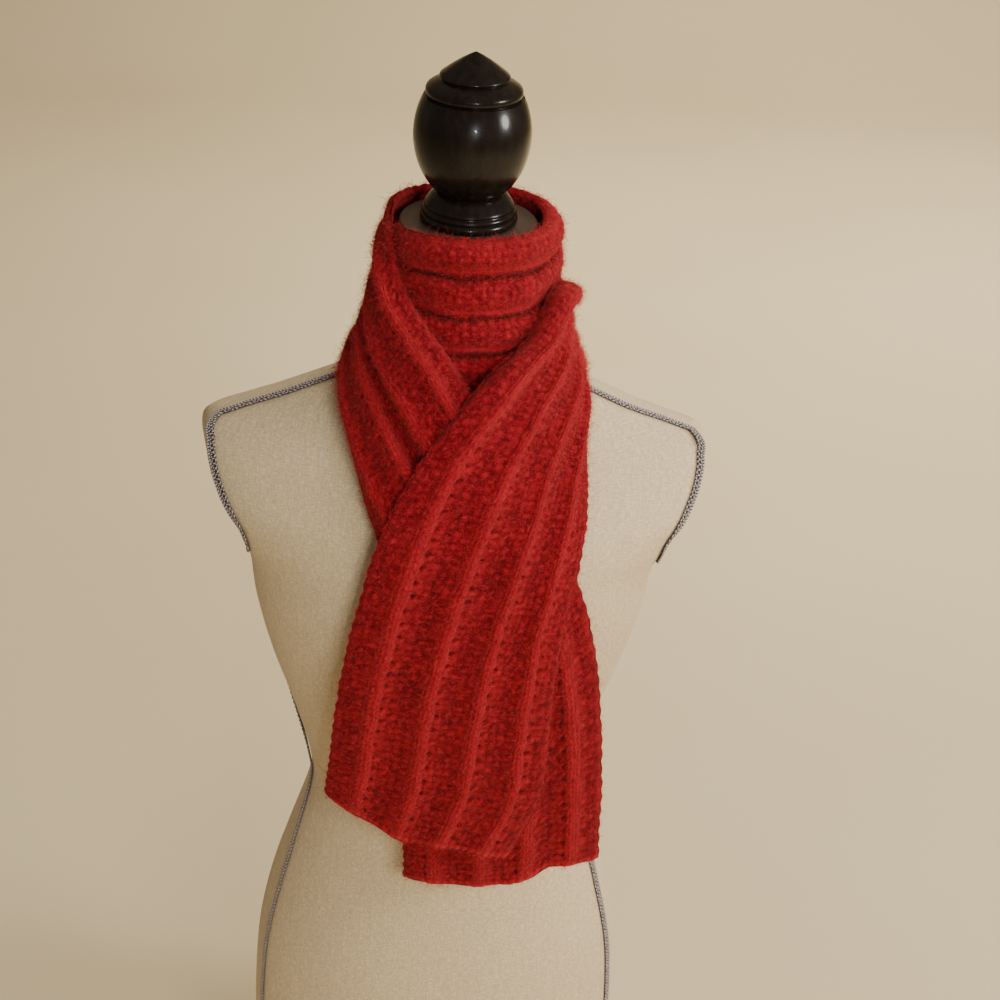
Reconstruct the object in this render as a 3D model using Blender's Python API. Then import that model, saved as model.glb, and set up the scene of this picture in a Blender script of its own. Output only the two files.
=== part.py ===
"""A ribbed knit scarf wound once round the neck of a limbless dress form.

Metres, +Z up, the front towards -Y. The origin is the middle of the base's underside.
Heights on the form and the scarf are given as a drop below a level just over the neck plate,
and directions round the neck as an angle in degrees: 0 is the front, 90 is +X, 180 the back.
"""

import math
from functools import lru_cache

import bmesh
import bpy
import numpy as np
from mathutils import Vector
from mathutils.bvhtree import BVHTree

SEAM = 0.0003  # gap between pieces that touch
SHARP = math.radians(45)  # edges that turn more than this are shaded as corners

# Stand
BASE_RADIUS = 0.135
BASE_HEIGHT = 0.026
POST_RADIUS = 0.017
POST_HEIGHT = 0.100

# Dress form
FORM_HEIGHT = 0.740  # the level that drops are counted from to the form's lower edge
PLATE_RADIUS = 0.0505
PLATE_HEIGHT = 0.0055
PLATE_SEAT = 0.0070  # drop of the plate's underside
PLATE_Z = BASE_HEIGHT + POST_HEIGHT + FORM_HEIGHT
NECK_LEAN = math.radians(4.8)  # how far the neck's top, the plate and the finial lean to the front
NECK_LEVEL = 0.060  # drop from which the neck starts to lean
FORM_SHIFT = -0.0026  # how far the form under the neck stands to the side
SHOULDER_FALL = 0.0040  # how much lower the shoulder on the +X side is
ARMHOLE_TOP = 0.156
ARMHOLE_BOTTOM = 0.256
ARMHOLE_CUT = 0.095  # how far a section would reach past the flat armhole, as a share of its half width
ARMHOLE_TILT = 0.17  # how far the flat armhole leans inward for each metre forward
LAST_RIM = 84.0  # the angle from the front or the back that the rim never passes
ARMHOLE_COLUMN = 9  # the form's column, of each quarter, that follows the armhole's rim
QUARTER = 11  # columns in a quarter of the form
ARMHOLE_FADE = 0.020  # over which that column comes back to its even place, above and below
BRAID_WIDTH = 0.008
BRAID_HEIGHT = 0.0022
BRAID_BEVEL = 0.1  # how far each side of its top leans in, as a share of its width
BRAID_GAP = 0.0007
BRAID_SINK = 0.0030  # how far below the form's faces it starts before it is laid on them
BRAID_STEPS = 250  # places at which its middle is worked out
BRAID_ROWS = 60  # rows of points that it keeps of them
NEAR = 0.003  # how far above and below a place the form's slope is taken
BRAID_TOP = 0.110
BRAID_BOTTOM = 0.735
# The form's column that the middle of the braid follows, by drop: the shoulder, the armhole's rim,
# the side under the arm and the hip
BRAID_COLUMNS = (
    (0.1100, 10.2),
    (0.1480, 10.0),
    (0.1560, 9.2),
    (0.1640, 8.55),
    (0.2080, 8.60),
    (0.2240, 8.85),
    (0.2400, 9.15),
    (0.2500, 9.60),
    (0.2600, 10.6),
    (0.2700, 11.3),
    (0.3000, 12.0),
    (0.3460, 12.0),
    (0.4440, 10.0),
    (0.5260, 8.8),
    (0.5610, 8.6),
    (0.7350, 8.6),
)
BRAID_SHARES = {-1: ((0.400, 1.0), (0.460, 0.4)), 1: ((0.400, 1.0), (0.460, 1.0))}  # of its width, by drop

# Finial
FINIAL_BALL_RADIUS = 0.0423
FINIAL_BALL_HALF_HEIGHT = 0.0518
FINIAL_BALL_Z = 0.0646
FINIAL_HEIGHT = 0.1239

# Scarf
SCARF_TURN = -4.2  # how far it sits turned round the form, in degrees
WALL = 0.0046  # the seed-stitch panels
RIB_WIDTH = 0.100  # of the scarf's width
RIBS = (0.155, 0.385, 0.615, 0.845)  # rib centres across the width
REST_GAP = 0.0011  # between the scarf and what it lies on
REACH = 0.060  # how far out the search for what lies below starts
SPLITS = 4  # each cell of a stretch is searched at this many places each way
SETTLE_STEPS = 10
EDGE_SHARE = 0.55  # of the wall's thickness, at its long edges
EDGE_WIDTH = 0.05  # of the scarf's width, over which the wall thins
FOLD_WIDTH = 0.13  # of the scarf's width, half the long fold's trough
BAND_CREEP = 0.055  # how far the ribs shift down where the scarf is squashed round the neck

# Sections of the form: drop, half width, front depth, back depth, squareness of the outline
FORM_SECTIONS = (
    (0.0073, 0.0475, 0.0475, 0.0475, 2.0),
    (0.0600, 0.0480, 0.0480, 0.0480, 2.0),
    (0.0900, 0.0492, 0.0495, 0.0500, 2.0),
    (0.1020, 0.0530, 0.0520, 0.0540, 2.0),
    (0.1100, 0.0640, 0.0545, 0.0590, 2.0),
    (0.1235, 0.0956, 0.0610, 0.0680, 2.0),
    (0.1360, 0.1270, 0.0680, 0.0760, 2.0),
    (0.1480, 0.1580, 0.0750, 0.0830, 2.0),
    (0.1560, 0.1800, 0.0800, 0.0868, 2.1),
    (0.1640, 0.1885, 0.0845, 0.0902, 2.1),
    (0.1750, 0.1900, 0.0905, 0.0940, 2.2),
    (0.1900, 0.1880, 0.0985, 0.0975, 2.2),
    (0.2070, 0.1810, 0.1070, 0.1000, 2.3),
    (0.2240, 0.1684, 0.1135, 0.1015, 2.3),
    (0.2400, 0.1603, 0.1180, 0.1018, 2.3),
    (0.2520, 0.1568, 0.1200, 0.1015, 2.3),
    (0.2600, 0.1556, 0.1209, 0.1012, 2.3),
    (0.2700, 0.1550, 0.1215, 0.1010, 2.3),
    (0.3000, 0.1512, 0.1190, 0.0980, 2.2),
    (0.3460, 0.1397, 0.1080, 0.0920, 2.1),
    (0.3990, 0.1214, 0.0940, 0.0860, 2.1),
    (0.4440, 0.1087, 0.0865, 0.0830, 2.1),
    (0.4700, 0.1084, 0.0850, 0.0840, 2.1),
    (0.5260, 0.1265, 0.0880, 0.0940, 2.1),
    (0.5610, 0.1375, 0.0920, 0.1030, 2.1),
    (0.6000, 0.1465, 0.0955, 0.1110, 2.2),
    (0.6350, 0.1510, 0.0970, 0.1150, 2.2),
    (0.6900, 0.1530, 0.0975, 0.1160, 2.2),
    (0.7300, 0.1510, 0.0960, 0.1130, 2.2),
    (0.7400, 0.1450, 0.0900, 0.1070, 2.2),
)

# Sections of the tail on top, from the shoulder to the hem. Inner edge x, y, drop, outer edge
# x, y, drop, then crown (the middle's bulge), hem (share of the hem's droop), pleat (relief of
# the ribs), fold (depth of a long fold down the middle) and gather (how far the ribs crowd
# towards the outer edge, as a share of the width).
TAIL_OVER = (
    (0.0700, 0.000, 0.0440, 0.0890, 0.000, 0.1130, -0.0040, 0.0, 0.0040, 0.0, 0.00),
    (0.0605, -0.036, 0.0400, 0.0890, -0.022, 0.1170, 0.0020, 0.0, 0.0042, 0.0, 0.02),
    (0.0450, -0.064, 0.0680, 0.0905, -0.047, 0.1300, 0.0080, 0.0, 0.0042, 0.0, 0.05),
    (0.0156, -0.095, 0.0900, 0.0935, -0.070, 0.1470, 0.0090, 0.0, 0.0038, 0.0, 0.08),
    (-0.0200, -0.118, 0.1350, 0.0960, -0.090, 0.1690, 0.0070, 0.0, 0.0034, 0.0, 0.09),
    (-0.0440, -0.133, 0.1800, 0.0955, -0.104, 0.1980, 0.0060, 0.0, 0.0030, 0.0, 0.09),
    (-0.0560, -0.139, 0.2150, 0.0915, -0.116, 0.2280, 0.0050, 0.0, 0.0028, 0.0, 0.08),
    (-0.0660, -0.141, 0.2570, 0.0855, -0.125, 0.2650, 0.0040, 0.0, 0.0026, 0.0, 0.06),
    (-0.0744, -0.140, 0.2990, 0.0813, -0.131, 0.3100, 0.0040, 0.0, 0.0025, 0.0, 0.04),
    (-0.0800, -0.138, 0.3430, 0.0790, -0.132, 0.3620, 0.0040, 0.1, 0.0025, 0.0, 0.02),
    (-0.0835, -0.136, 0.3790, 0.0755, -0.132, 0.4080, 0.0040, 0.5, 0.0025, 0.0, 0.01),
    (-0.0870, -0.134, 0.4110, 0.0530, -0.132, 0.4620, 0.0040, 1.0, 0.0025, 0.0, 0.00),
)

# Sections round the neck: angle, top radius, top drop, bottom radius, bottom drop, crown,
# pleat (relief of the ribs) and tier (bulge of each panel between the ribs)
BACK_WRAP = (
    (90.0, 0.0700, 0.0440, 0.0890, 0.1130, -0.0040, 0.0040, 0.0),
    (105.0, 0.0720, 0.0560, 0.0880, 0.1180, 0.0000, 0.0038, 0.0),
    (120.0, 0.0700, 0.0730, 0.0890, 0.1270, 0.0020, 0.0035, 0.0),
    (140.0, 0.0670, 0.0790, 0.0900, 0.1410, 0.0020, 0.0030, 0.0),
    (160.0, 0.0620, 0.0760, 0.0910, 0.1530, 0.0010, 0.0028, 0.0),
    (180.0, 0.0580, 0.0680, 0.0930, 0.1620, 0.0000, 0.0025, 0.0),
    (200.0, 0.0550, 0.0560, 0.0900, 0.1520, -0.0020, 0.0022, 0.0),
    (220.0, 0.0530, 0.0400, 0.0840, 0.1370, -0.0060, 0.0020, 0.0),
    (240.0, 0.0520, 0.0220, 0.0730, 0.1170, -0.0080, 0.0015, 0.0006),
    (255.0, 0.0518, 0.0100, 0.0620, 0.1050, -0.0060, 0.0010, 0.0012),
)
NECK_BAND = (
    (255.0, 0.0518, 0.0100, 0.0620, 0.1050, -0.0060, 0.0010, 0.0012),
    (285.0, 0.0520, 0.0040, 0.0620, 0.1050, -0.0040, 0.0008, 0.0016),
    (320.0, 0.0530, 0.0010, 0.0680, 0.1100, 0.0000, 0.0006, 0.0036),
    (360.0, 0.0535, 0.0000, 0.0740, 0.1140, 0.0010, 0.0006, 0.0042),
    (400.0, 0.0560, -0.0010, 0.0730, 0.1110, 0.0005, 0.0006, 0.0046),
    (435.0, 0.0600, -0.0030, 0.0650, 0.0960, 0.0000, 0.0008, 0.0048),
    (460.0, 0.0610, -0.0050, 0.0625, 0.0790, 0.0000, 0.0010, 0.0044),
    (480.0, 0.0610, -0.0060, 0.0620, 0.0690, 0.0000, 0.0012, 0.0040),
)
TAIL_UNDER_COLLAR = (
    (480.0, 0.0610, -0.0060, 0.0620, 0.0690, 0.0000, 0.0012, 0.0040),
    (500.0, 0.0600, -0.0065, 0.0660, 0.0740, 0.0000, 0.0014, 0.0036),
    (520.0, 0.0595, -0.0070, 0.0720, 0.0860, 0.0000, 0.0016, 0.0032),
    (540.0, 0.0595, -0.0070, 0.0750, 0.0960, 0.0000, 0.0018, 0.0028),
    (560.0, 0.0595, -0.0070, 0.0760, 0.1040, -0.0020, 0.0020, 0.0022),
    (580.0, 0.0590, -0.0070, 0.0780, 0.1100, -0.0060, 0.0022, 0.0016),
    (600.0, 0.0590, -0.0065, 0.0800, 0.1140, -0.0100, 0.0024, 0.0006),
    (618.0, 0.0590, -0.0040, 0.0830, 0.1150, -0.0070, 0.0026, 0.0),
)

# Sections of the tail beneath, from the left shoulder to its hem, with the same columns
TAIL_UNDER = (
    (-0.0530, -0.030, 0.0070, -0.0820, -0.036, 0.1230, -0.0030, 0.0, 0.0028, 0.0050, 0.00),
    (-0.0430, -0.050, 0.0360, -0.0780, -0.062, 0.1390, 0.0020, 0.0, 0.0032, 0.0090, 0.00),
    (-0.0268, -0.066, 0.0586, -0.0700, -0.088, 0.1600, 0.0040, 0.0, 0.0034, 0.0100, 0.00),
    (-0.0090, -0.080, 0.0770, -0.0610, -0.108, 0.1850, 0.0050, 0.0, 0.0034, 0.0100, 0.00),
    (0.0120, -0.094, 0.1060, -0.0510, -0.121, 0.2130, 0.0050, 0.0, 0.0030, 0.0080, 0.00),
    (0.0400, -0.106, 0.1480, -0.0450, -0.126, 0.2560, 0.0050, 0.0, 0.0028, 0.0050, 0.00),
    (0.0700, -0.113, 0.1930, -0.0400, -0.127, 0.3040, 0.0040, 0.0, 0.0026, 0.0020, 0.00),
    (0.0940, -0.115, 0.2380, -0.0350, -0.126, 0.3460, 0.0040, 0.0, 0.0025, 0.0000, 0.00),
    (0.1110, -0.112, 0.3000, -0.0310, -0.124, 0.3880, 0.0040, 0.0, 0.0025, 0.0000, 0.00),
    (0.1205, -0.108, 0.3850, -0.0285, -0.121, 0.4380, 0.0040, 0.3, 0.0025, 0.0000, 0.00),
    (0.1240, -0.102, 0.4780, -0.0265, -0.118, 0.4940, 0.0040, 1.0, 0.0025, 0.0000, 0.00),
)

# Droop of each hem below the line between its corners, by place across the width
HEMS = {
    "tail_over": ((0.00, 0.0000), (0.20, 0.0065), (0.43, 0.0140), (0.67, 0.0068), (1.00, 0.0000)),
    "tail_under": ((0.00, 0.0), (0.26, 0.0), (0.34, 0.0070), (0.46, 0.0115), (0.70, 0.0090), (1.00, 0.0)),
}

# The stretches from the lowest to the top one
LAYERS = ("neck_band", "back_wrap", "tail_under", "tail_over")

# Rows of points along each stretch
ROWS = {"tail_over": 31, "back_wrap": 15, "neck_band": 21, "tail_under": 41}


def clear_scene():
    for obj in list(bpy.data.objects):
        bpy.data.objects.remove(obj, do_unlink=True)


def material(name, colour, roughness, metallic=0.0):
    made = bpy.data.materials.new(name)
    made.use_nodes = True
    shader = made.node_tree.nodes["Principled BSDF"]
    shader.inputs["Base Color"].default_value = (*colour, 1.0)
    shader.inputs["Roughness"].default_value = roughness
    shader.inputs["Metallic"].default_value = metallic
    return made


def knit_material(name):
    return material(name, (0.42, 0.014, 0.012), 0.92)


def wood_material(name):
    return material(name, (0.014, 0.009, 0.007), 0.28)


def linen_material(name):
    return material(name, (0.60, 0.52, 0.40), 0.90)


def plate_material(name):
    return material(name, (0.10, 0.08, 0.065), 0.45)


def braid_material(name):
    return material(name, (0.25, 0.23, 0.27), 0.80)


def add_object(name, points, faces, finish):
    mesh = bpy.data.meshes.new(name)
    mesh.from_pydata([tuple(point) for point in points], [], faces)
    mesh.materials.append(finish)
    mesh.shade_smooth()
    mesh.set_sharp_from_angle(angle=SHARP)
    obj = bpy.data.objects.new(name, mesh)
    bpy.context.scene.collection.objects.link(obj)
    return obj


def turned(name, profile, steps, finish, height, lean=0.0):
    """A solid turned about Z from (radius, z) points that run from the axis to the axis."""
    shape = bmesh.new()
    corners = [shape.verts.new((radius, 0.0, z)) for radius, z in profile]
    edges = [shape.edges.new(pair) for pair in zip(corners, corners[1:])]
    bmesh.ops.spin(shape, geom=corners + edges, cent=(0, 0, 0), axis=(0, 0, 1), angle=math.tau, steps=steps)
    bmesh.ops.remove_doubles(shape, verts=shape.verts, dist=1e-6)
    bmesh.ops.recalc_face_normals(shape, faces=shape.faces)
    mesh = bpy.data.meshes.new(name)
    shape.to_mesh(mesh)
    shape.free()
    mesh.materials.append(finish)
    mesh.shade_smooth()
    mesh.set_sharp_from_angle(angle=SHARP)
    obj = bpy.data.objects.new(name, mesh)
    obj.location.z = height
    obj.rotation_euler.x = lean
    bpy.context.scene.collection.objects.link(obj)
    return obj


# Laying one piece on others


def blurred(values):
    padded = np.pad(values, 1, mode="edge")
    rows = (padded[:-2] + 2 * padded[1:-1] + padded[2:]) / 4
    return (rows[:, :-2] + 2 * rows[:, 1:-1] + rows[:, 2:]) / 4


def shape_of(obj):
    points = [obj.matrix_basis @ vertex.co for vertex in obj.data.vertices]
    return points, [tuple(face.vertices) for face in obj.data.polygons]


def search_tree(shapes):
    """All the faces of the shapes as triangles, each split from its first corner, for rays to be cast at."""
    points, fans = [], []
    for corners, faces in shapes:
        start = len(points)
        points += list(corners)
        for face in faces:
            fans += [(start + face[0], start + one, start + other) for one, other in zip(face[1:], face[2:])]
    return BVHTree.FromPolygons(points, fans, all_triangles=True)


def needed_lift(points, outward, tree, gap):
    """How far each point moves outward to lie a gap above what is below it."""
    lift = np.zeros(points.shape[:2])
    for index in np.ndindex(*lift.shape):
        start = Vector(points[index] + outward[index] * REACH)
        distance = tree.ray_cast(start, Vector(-outward[index]), REACH + gap)[3]
        if distance is not None:
            lift[index] = REACH - distance + gap
    return lift


def refined(grid):
    """The grid with SPLITS - 1 more points between each two neighbours, both ways."""
    for axis in (0, 1):
        ahead = np.moveaxis(grid, axis, 0)
        steps = [ahead[:-1] + (ahead[1:] - ahead[:-1]) * step / SPLITS for step in range(SPLITS)]
        between = np.stack(steps, 1).reshape(-1, *ahead.shape[1:])
        grid = np.moveaxis(np.concatenate([between, ahead[-1:]]), 0, axis)
    return grid


def settled(points, outward, below, gap, held):
    """The lift that lays a grid on the shapes below it, smooth, with the rows in held kept."""
    fine = needed_lift(refined(points), refined(outward), search_tree(below), gap)
    reach = SPLITS - 1
    padded = np.pad(fine, reach)
    rows, columns = fine.shape
    windows = [padded[row : row + rows, :] for row in range(2 * reach + 1)]
    widest = np.max(windows, axis=0)
    windows = [widest[:, column : column + columns] for column in range(2 * reach + 1)]
    needed = np.max(windows, axis=0)[::SPLITS, ::SPLITS]
    lift = needed.copy()
    for _ in range(SETTLE_STEPS):
        lift = np.maximum(needed, blurred(lift))
        for row, values in held.items():
            lift[row] = values
    return lift


# The stand and the form


def build_base():
    edge = BASE_HEIGHT * 0.35
    profile = [(0.0, 0.0), (BASE_RADIUS - 0.002, 0.0), (BASE_RADIUS, 0.002), (BASE_RADIUS, edge)]
    for step in range(1, 6):
        turn = math.radians(90 * step / 5)
        radius = BASE_RADIUS - 0.018 + 0.018 * math.cos(turn)
        profile.append((radius, edge + (BASE_HEIGHT * 0.9 - edge) * math.sin(turn)))
    profile += [(0.055, BASE_HEIGHT * 0.92), (0.040, BASE_HEIGHT), (0.0, BASE_HEIGHT)]
    return turned("base", profile, 40, wood_material("wood_base"), 0.0)


def build_post():
    bottom = SEAM
    top = POST_HEIGHT - SEAM
    profile = [
        (0.0, bottom),
        (0.030, bottom),
        (0.031, 0.004),
        (0.029, 0.009),
        (0.021, 0.012),
        (POST_RADIUS, 0.020),
        (POST_RADIUS * 1.25, 0.038),
        (POST_RADIUS * 1.32, 0.050),
        (POST_RADIUS * 1.18, 0.064),
        (POST_RADIUS * 0.92, 0.078),
        (0.024, 0.084),
        (0.024, 0.088),
        (0.040, 0.092),
        (0.040, top),
        (0.0, top),
    ]
    return turned("post", profile, 24, wood_material("wood_post"), BASE_HEIGHT)


def smooth_row(table, place):
    """A row of the table at a place from 0 to its last index, on a Catmull-Rom curve through the rows."""
    rows = np.asarray(table, float)
    last = len(rows) - 1
    start = min(int(place), last - 1)
    part = place - start
    before = rows[start - 1] if start > 0 else 2 * rows[0] - rows[1]
    after = rows[start + 2] if start + 2 <= last else 2 * rows[last] - rows[last - 1]
    here, there = rows[start], rows[start + 1]
    return (
        here
        + 0.5 * part * (there - before)
        + part**2 * (before - 2.5 * here + 2 * there - 0.5 * after)
        + part**3 * (-0.5 * before + 1.5 * here - 1.5 * there + 0.5 * after)
    )


@lru_cache(maxsize=None)
def form_section(drop):
    """Half width, front depth, back depth and squareness of the form at a drop."""
    drops = [row[0] for row in FORM_SECTIONS]
    upper = max(index for index in range(len(drops) - 1) if drops[index] <= drop + 1e-9)
    low, high = 0.0, 1.0
    for _ in range(30):
        middle = (low + high) / 2
        if smooth_row(FORM_SECTIONS, upper + middle)[0] < drop:
            low = middle
        else:
            high = middle
    return tuple(smooth_row(FORM_SECTIONS, upper + low)[1:])


def armhole_reach(drop):
    """How far a section would reach past the flat armhole, as a share of its half width."""
    hole = (drop - ARMHOLE_TOP) / (ARMHOLE_BOTTOM - ARMHOLE_TOP)
    return ARMHOLE_CUT * math.sqrt(max(0.0, 1 - (2 * hole - 1) ** 2))


def uncut_point(drop, degrees):
    """A point on the form as it would be without armholes, and how wide the armhole leaves it there."""
    half_width, front, back, squareness = form_section(drop)
    turn = math.radians(degrees)
    across, along = math.sin(turn), -math.cos(turn)
    reach = armhole_reach(drop)
    x = half_width * (1 + reach) * math.copysign(abs(across) ** (2 / squareness), across)
    depth = front if along < 0 else back
    y = depth * math.copysign(abs(along) ** (2 / squareness), along)
    return x, y, half_width + ARMHOLE_TILT * y * reach / ARMHOLE_CUT


@lru_cache(maxsize=None)
def rim_angle(drop, behind):
    """The angle from the front, or from the back, at which a section meets the armhole's rim."""
    low, high = 0.0, 90.0
    for _ in range(24):
        middle = (low + high) / 2
        x, _, limit = uncut_point(drop, 180 - middle if behind else middle)
        if x < limit:
            low = middle
        else:
            high = middle
    return min(low, LAST_RIM)


def ramp(value, start, end):
    """0 before start, 1 after end, and smooth between."""
    share = min(max((value - start) / (end - start), 0.0), 1.0)
    return share * share * (3 - 2 * share)


def form_point(drop, degrees):
    """A point on the form. The sides are cut flat at the armholes."""
    x, y, limit = uncut_point(drop, degrees)
    x = min(max(x, -limit), limit)
    upper = min(max((NECK_LEVEL - drop) / (NECK_LEVEL - PLATE_SEAT), 0.0), 1.0)
    fall = SHOULDER_FALL * ramp(x, 0.03, 0.17) * ramp(drop, 0.095, 0.12) * (1 - ramp(drop, 0.19, 0.34))
    z = PLATE_Z - drop + y * math.tan(NECK_LEAN) * upper - fall
    return Vector((x + FORM_SHIFT * ramp(drop, 0.09, 0.15), y, z))


def column_angle(drop, column):
    """The angle of one of the form's columns, counted from the front. One follows the armhole's rim."""
    quarter, place = divmod(column, QUARTER)
    from_middle = QUARTER - place if quarter % 2 else place
    plain = 90 * ARMHOLE_COLUMN / QUARTER
    away = max(ARMHOLE_TOP - drop, drop - ARMHOLE_BOTTOM, 0.0)
    near = max(0.0, 1 - away / ARMHOLE_FADE)
    rim = plain + (rim_angle(drop, quarter in (1, 2)) - plain) * near
    if from_middle <= ARMHOLE_COLUMN:
        angle = rim * from_middle / ARMHOLE_COLUMN
    else:
        angle = rim + (90 - rim) * (from_middle - ARMHOLE_COLUMN) / (QUARTER - ARMHOLE_COLUMN)
    return 90 * (quarter + 1) - angle if quarter % 2 else 90 * quarter + angle


def build_torso():
    columns = 4 * QUARTER
    points = []
    for row in FORM_SECTIONS:
        points += [form_point(row[0], column_angle(row[0], column)) for column in range(columns)]
    faces = []
    for row in range(len(FORM_SECTIONS) - 1):
        for column in range(columns):
            after = (column + 1) % columns
            upper, lower = row * columns, (row + 1) * columns
            faces.append((upper + column, lower + column, lower + after, upper + after))
    faces.append(tuple(range(columns)))
    last = (len(FORM_SECTIONS) - 1) * columns
    faces.append(tuple(last + column for column in reversed(range(columns))))
    return add_object("torso", points, faces, linen_material("linen"))


def build_plate():
    bevel = 0.0012
    profile = [
        (0.0, 0.0),
        (PLATE_RADIUS - bevel, 0.0),
        (PLATE_RADIUS, bevel),
        (PLATE_RADIUS, PLATE_HEIGHT - bevel),
        (PLATE_RADIUS - bevel, PLATE_HEIGHT),
        (0.0, PLATE_HEIGHT),
    ]
    return turned("neck_plate", profile, 36, plate_material("plate"), PLATE_Z - PLATE_SEAT, NECK_LEAN)


def build_finial():
    profile = [
        (0.0, 0.0),
        (0.0340, 0.0),
        (0.0353, 0.0010),
        (0.0355, 0.0026),
        (0.0350, 0.0050),
        (0.0337, 0.0062),
        (0.0346, 0.0074),
        (0.0342, 0.0094),
        (0.0323, 0.0108),
        (0.0330, 0.0118),
        (0.0321, 0.0138),
        (0.0300, 0.0170),
        (0.0268, 0.0206),
        (0.0246, 0.0222),
    ]
    steps = 12
    low, high = -0.0418, 0.0274
    for step in range(steps + 1):
        z = low + (high - low) * step / steps
        radius = FINIAL_BALL_RADIUS * math.sqrt(1 - (z / FINIAL_BALL_HALF_HEIGHT) ** 2)
        profile.append((radius, FINIAL_BALL_Z + z))
    profile += [
        (0.0334, 0.0926),
        (0.0344, 0.0942),
        (0.0347, 0.0962),
        (0.0342, 0.0984),
        (0.0310, 0.1010),
        (0.0262, 0.1036),
        (0.0238, 0.1046),
        (0.0251, 0.1060),
        (0.0248, 0.1074),
        (0.0170, 0.1134),
        (0.0085, 0.1190),
        (0.0, FINIAL_HEIGHT),
    ]
    foot = PLATE_HEIGHT + SEAM
    finial = turned("finial", profile, 28, wood_material("wood_finial"), PLATE_Z - PLATE_SEAT, NECK_LEAN)
    finial.location.y = -foot * math.sin(NECK_LEAN)
    finial.location.z += foot * math.cos(NECK_LEAN)
    return finial


def ring_point(drop, column):
    """A point on the edge line of the form's faces at one of its sections."""
    low = math.floor(column)
    here, there = (form_point(drop, column_angle(drop, place)) for place in (low, low + 1))
    return here.lerp(there, column - low)


def braid_middles():
    """Points down the middle of the trim, each with a direction out of the form."""
    middles, outward = [], []
    for drop in np.linspace(BRAID_TOP, BRAID_BOTTOM, BRAID_STEPS):
        column = float(np.interp(drop, *zip(*BRAID_COLUMNS)))
        across = ring_point(drop, column + 0.5) - ring_point(drop, column - 0.5)
        down = ring_point(drop + NEAR, column) - ring_point(drop - NEAR, column)
        middles.append(ring_point(drop, column))
        outward.append(down.cross(across).normalized())
    middles, outward = np.array(middles), np.array(outward)
    steps = np.linalg.norm(np.diff(middles, axis=0), axis=1)
    travelled = np.concatenate([[0.0], np.cumsum(steps)])
    wanted = np.linspace(0, travelled[-1], BRAID_ROWS)
    return [
        np.stack([np.interp(wanted, travelled, grid[:, axis]) for axis in range(3)], 1)
        for grid in (middles, outward)
    ]


def build_braid(name, side, torso):
    """The trim as a flat strip over the shoulder seam, round the armhole's front and down the side seam."""
    middles, outward = braid_middles()
    sideways = np.cross(outward, np.gradient(middles, axis=0))
    sideways *= BRAID_WIDTH / 2 / np.linalg.norm(sideways, axis=1, keepdims=True)
    sideways *= np.interp(PLATE_Z - middles[:, 2], *zip(*BRAID_SHARES[side]))[:, None]
    feet = np.stack([middles - sideways, middles + sideways], 1)
    outward = np.stack([outward, outward], 1)
    feet -= outward * BRAID_SINK
    feet[:, :, 0] *= side
    outward[:, :, 0] *= side
    feet += outward * settled(feet, outward, [shape_of(torso)], BRAID_GAP, {})[:, :, None]
    bevel = (feet[:, ::-1] - feet) * BRAID_BEVEL
    top = feet + outward * BRAID_HEIGHT + bevel
    points = np.concatenate([feet, top[:, ::-1]], axis=1).reshape(-1, 3)
    faces = []
    last = len(points) - 4
    for ring in range(0, last, 4):
        for corner in range(4):
            after = (corner + 1) % 4
            faces.append((ring + corner, ring + after, ring + 4 + after, ring + 4 + corner)[::side])
    faces.append((3, 2, 1, 0)[::side])
    faces.append((last, last + 1, last + 2, last + 3)[::side])
    return add_object(name, points, faces, braid_material("trim_" + name))


# The scarf


def columns_across():
    """Places across the width: both edges, four at each rib and one in the middle of each panel."""
    places = {0.0, 1.0}
    for rib in RIBS:
        places |= {rib - RIB_WIDTH / 2, rib - RIB_WIDTH / 5, rib + RIB_WIDTH / 5, rib + RIB_WIDTH / 2}
    for left, right in zip(RIBS, RIBS[1:]):
        places.add((left + right) / 2)
    return np.array(sorted(places))


def ring_rows(table):
    """Rows round the neck in the tails' columns, with the tier last."""
    rows = []
    for degrees, top_radius, top_drop, low_radius, low_drop, crown, pleat, tier in table:
        turn = math.radians(degrees)
        across, along = math.sin(turn), -math.cos(turn)
        top = (top_radius * across, top_radius * along, top_drop)
        low = (low_radius * across, low_radius * along, low_drop)
        rows.append((*top, *low, crown, 0.0, pleat, 0.0, 0.0, tier))
    return rows


def tail_rows(table):
    return [(*row, 0.0) for row in table]


def stretch_tables():
    """The scarf's stretches in order from the front hem to the rear hem."""
    under = ring_rows(TAIL_UNDER_COLLAR) + tail_rows(TAIL_UNDER)
    return {
        "tail_over": tail_rows(TAIL_OVER)[::-1],
        "back_wrap": ring_rows(BACK_WRAP),
        "neck_band": ring_rows(NECK_BAND),
        "tail_under": under,
    }


def even_rows(table, count):
    """The table's rows read at places that are evenly spaced along the middle of the stretch."""
    fine = np.array([smooth_row(table, place) for place in np.linspace(0, len(table) - 1, 400)])
    middle = (fine[:, 0:3] + fine[:, 3:6]) / 2
    steps = np.linalg.norm(np.diff(middle, axis=0), axis=1)
    travelled = np.concatenate([[0.0], np.cumsum(steps)])
    wanted = np.linspace(0, travelled[-1], count)
    return np.stack([np.interp(wanted, travelled, fine[:, column]) for column in range(fine.shape[1])], 1)


def panel_place(place):
    """How far a place is across its panel, from 0 at one rib or edge to 1 at the next."""
    stops = (0.0, *RIBS, 1.0)
    for left, right in zip(stops, stops[1:]):
        if place <= right:
            return (place - left) / (right - left)
    return 1.0


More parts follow.
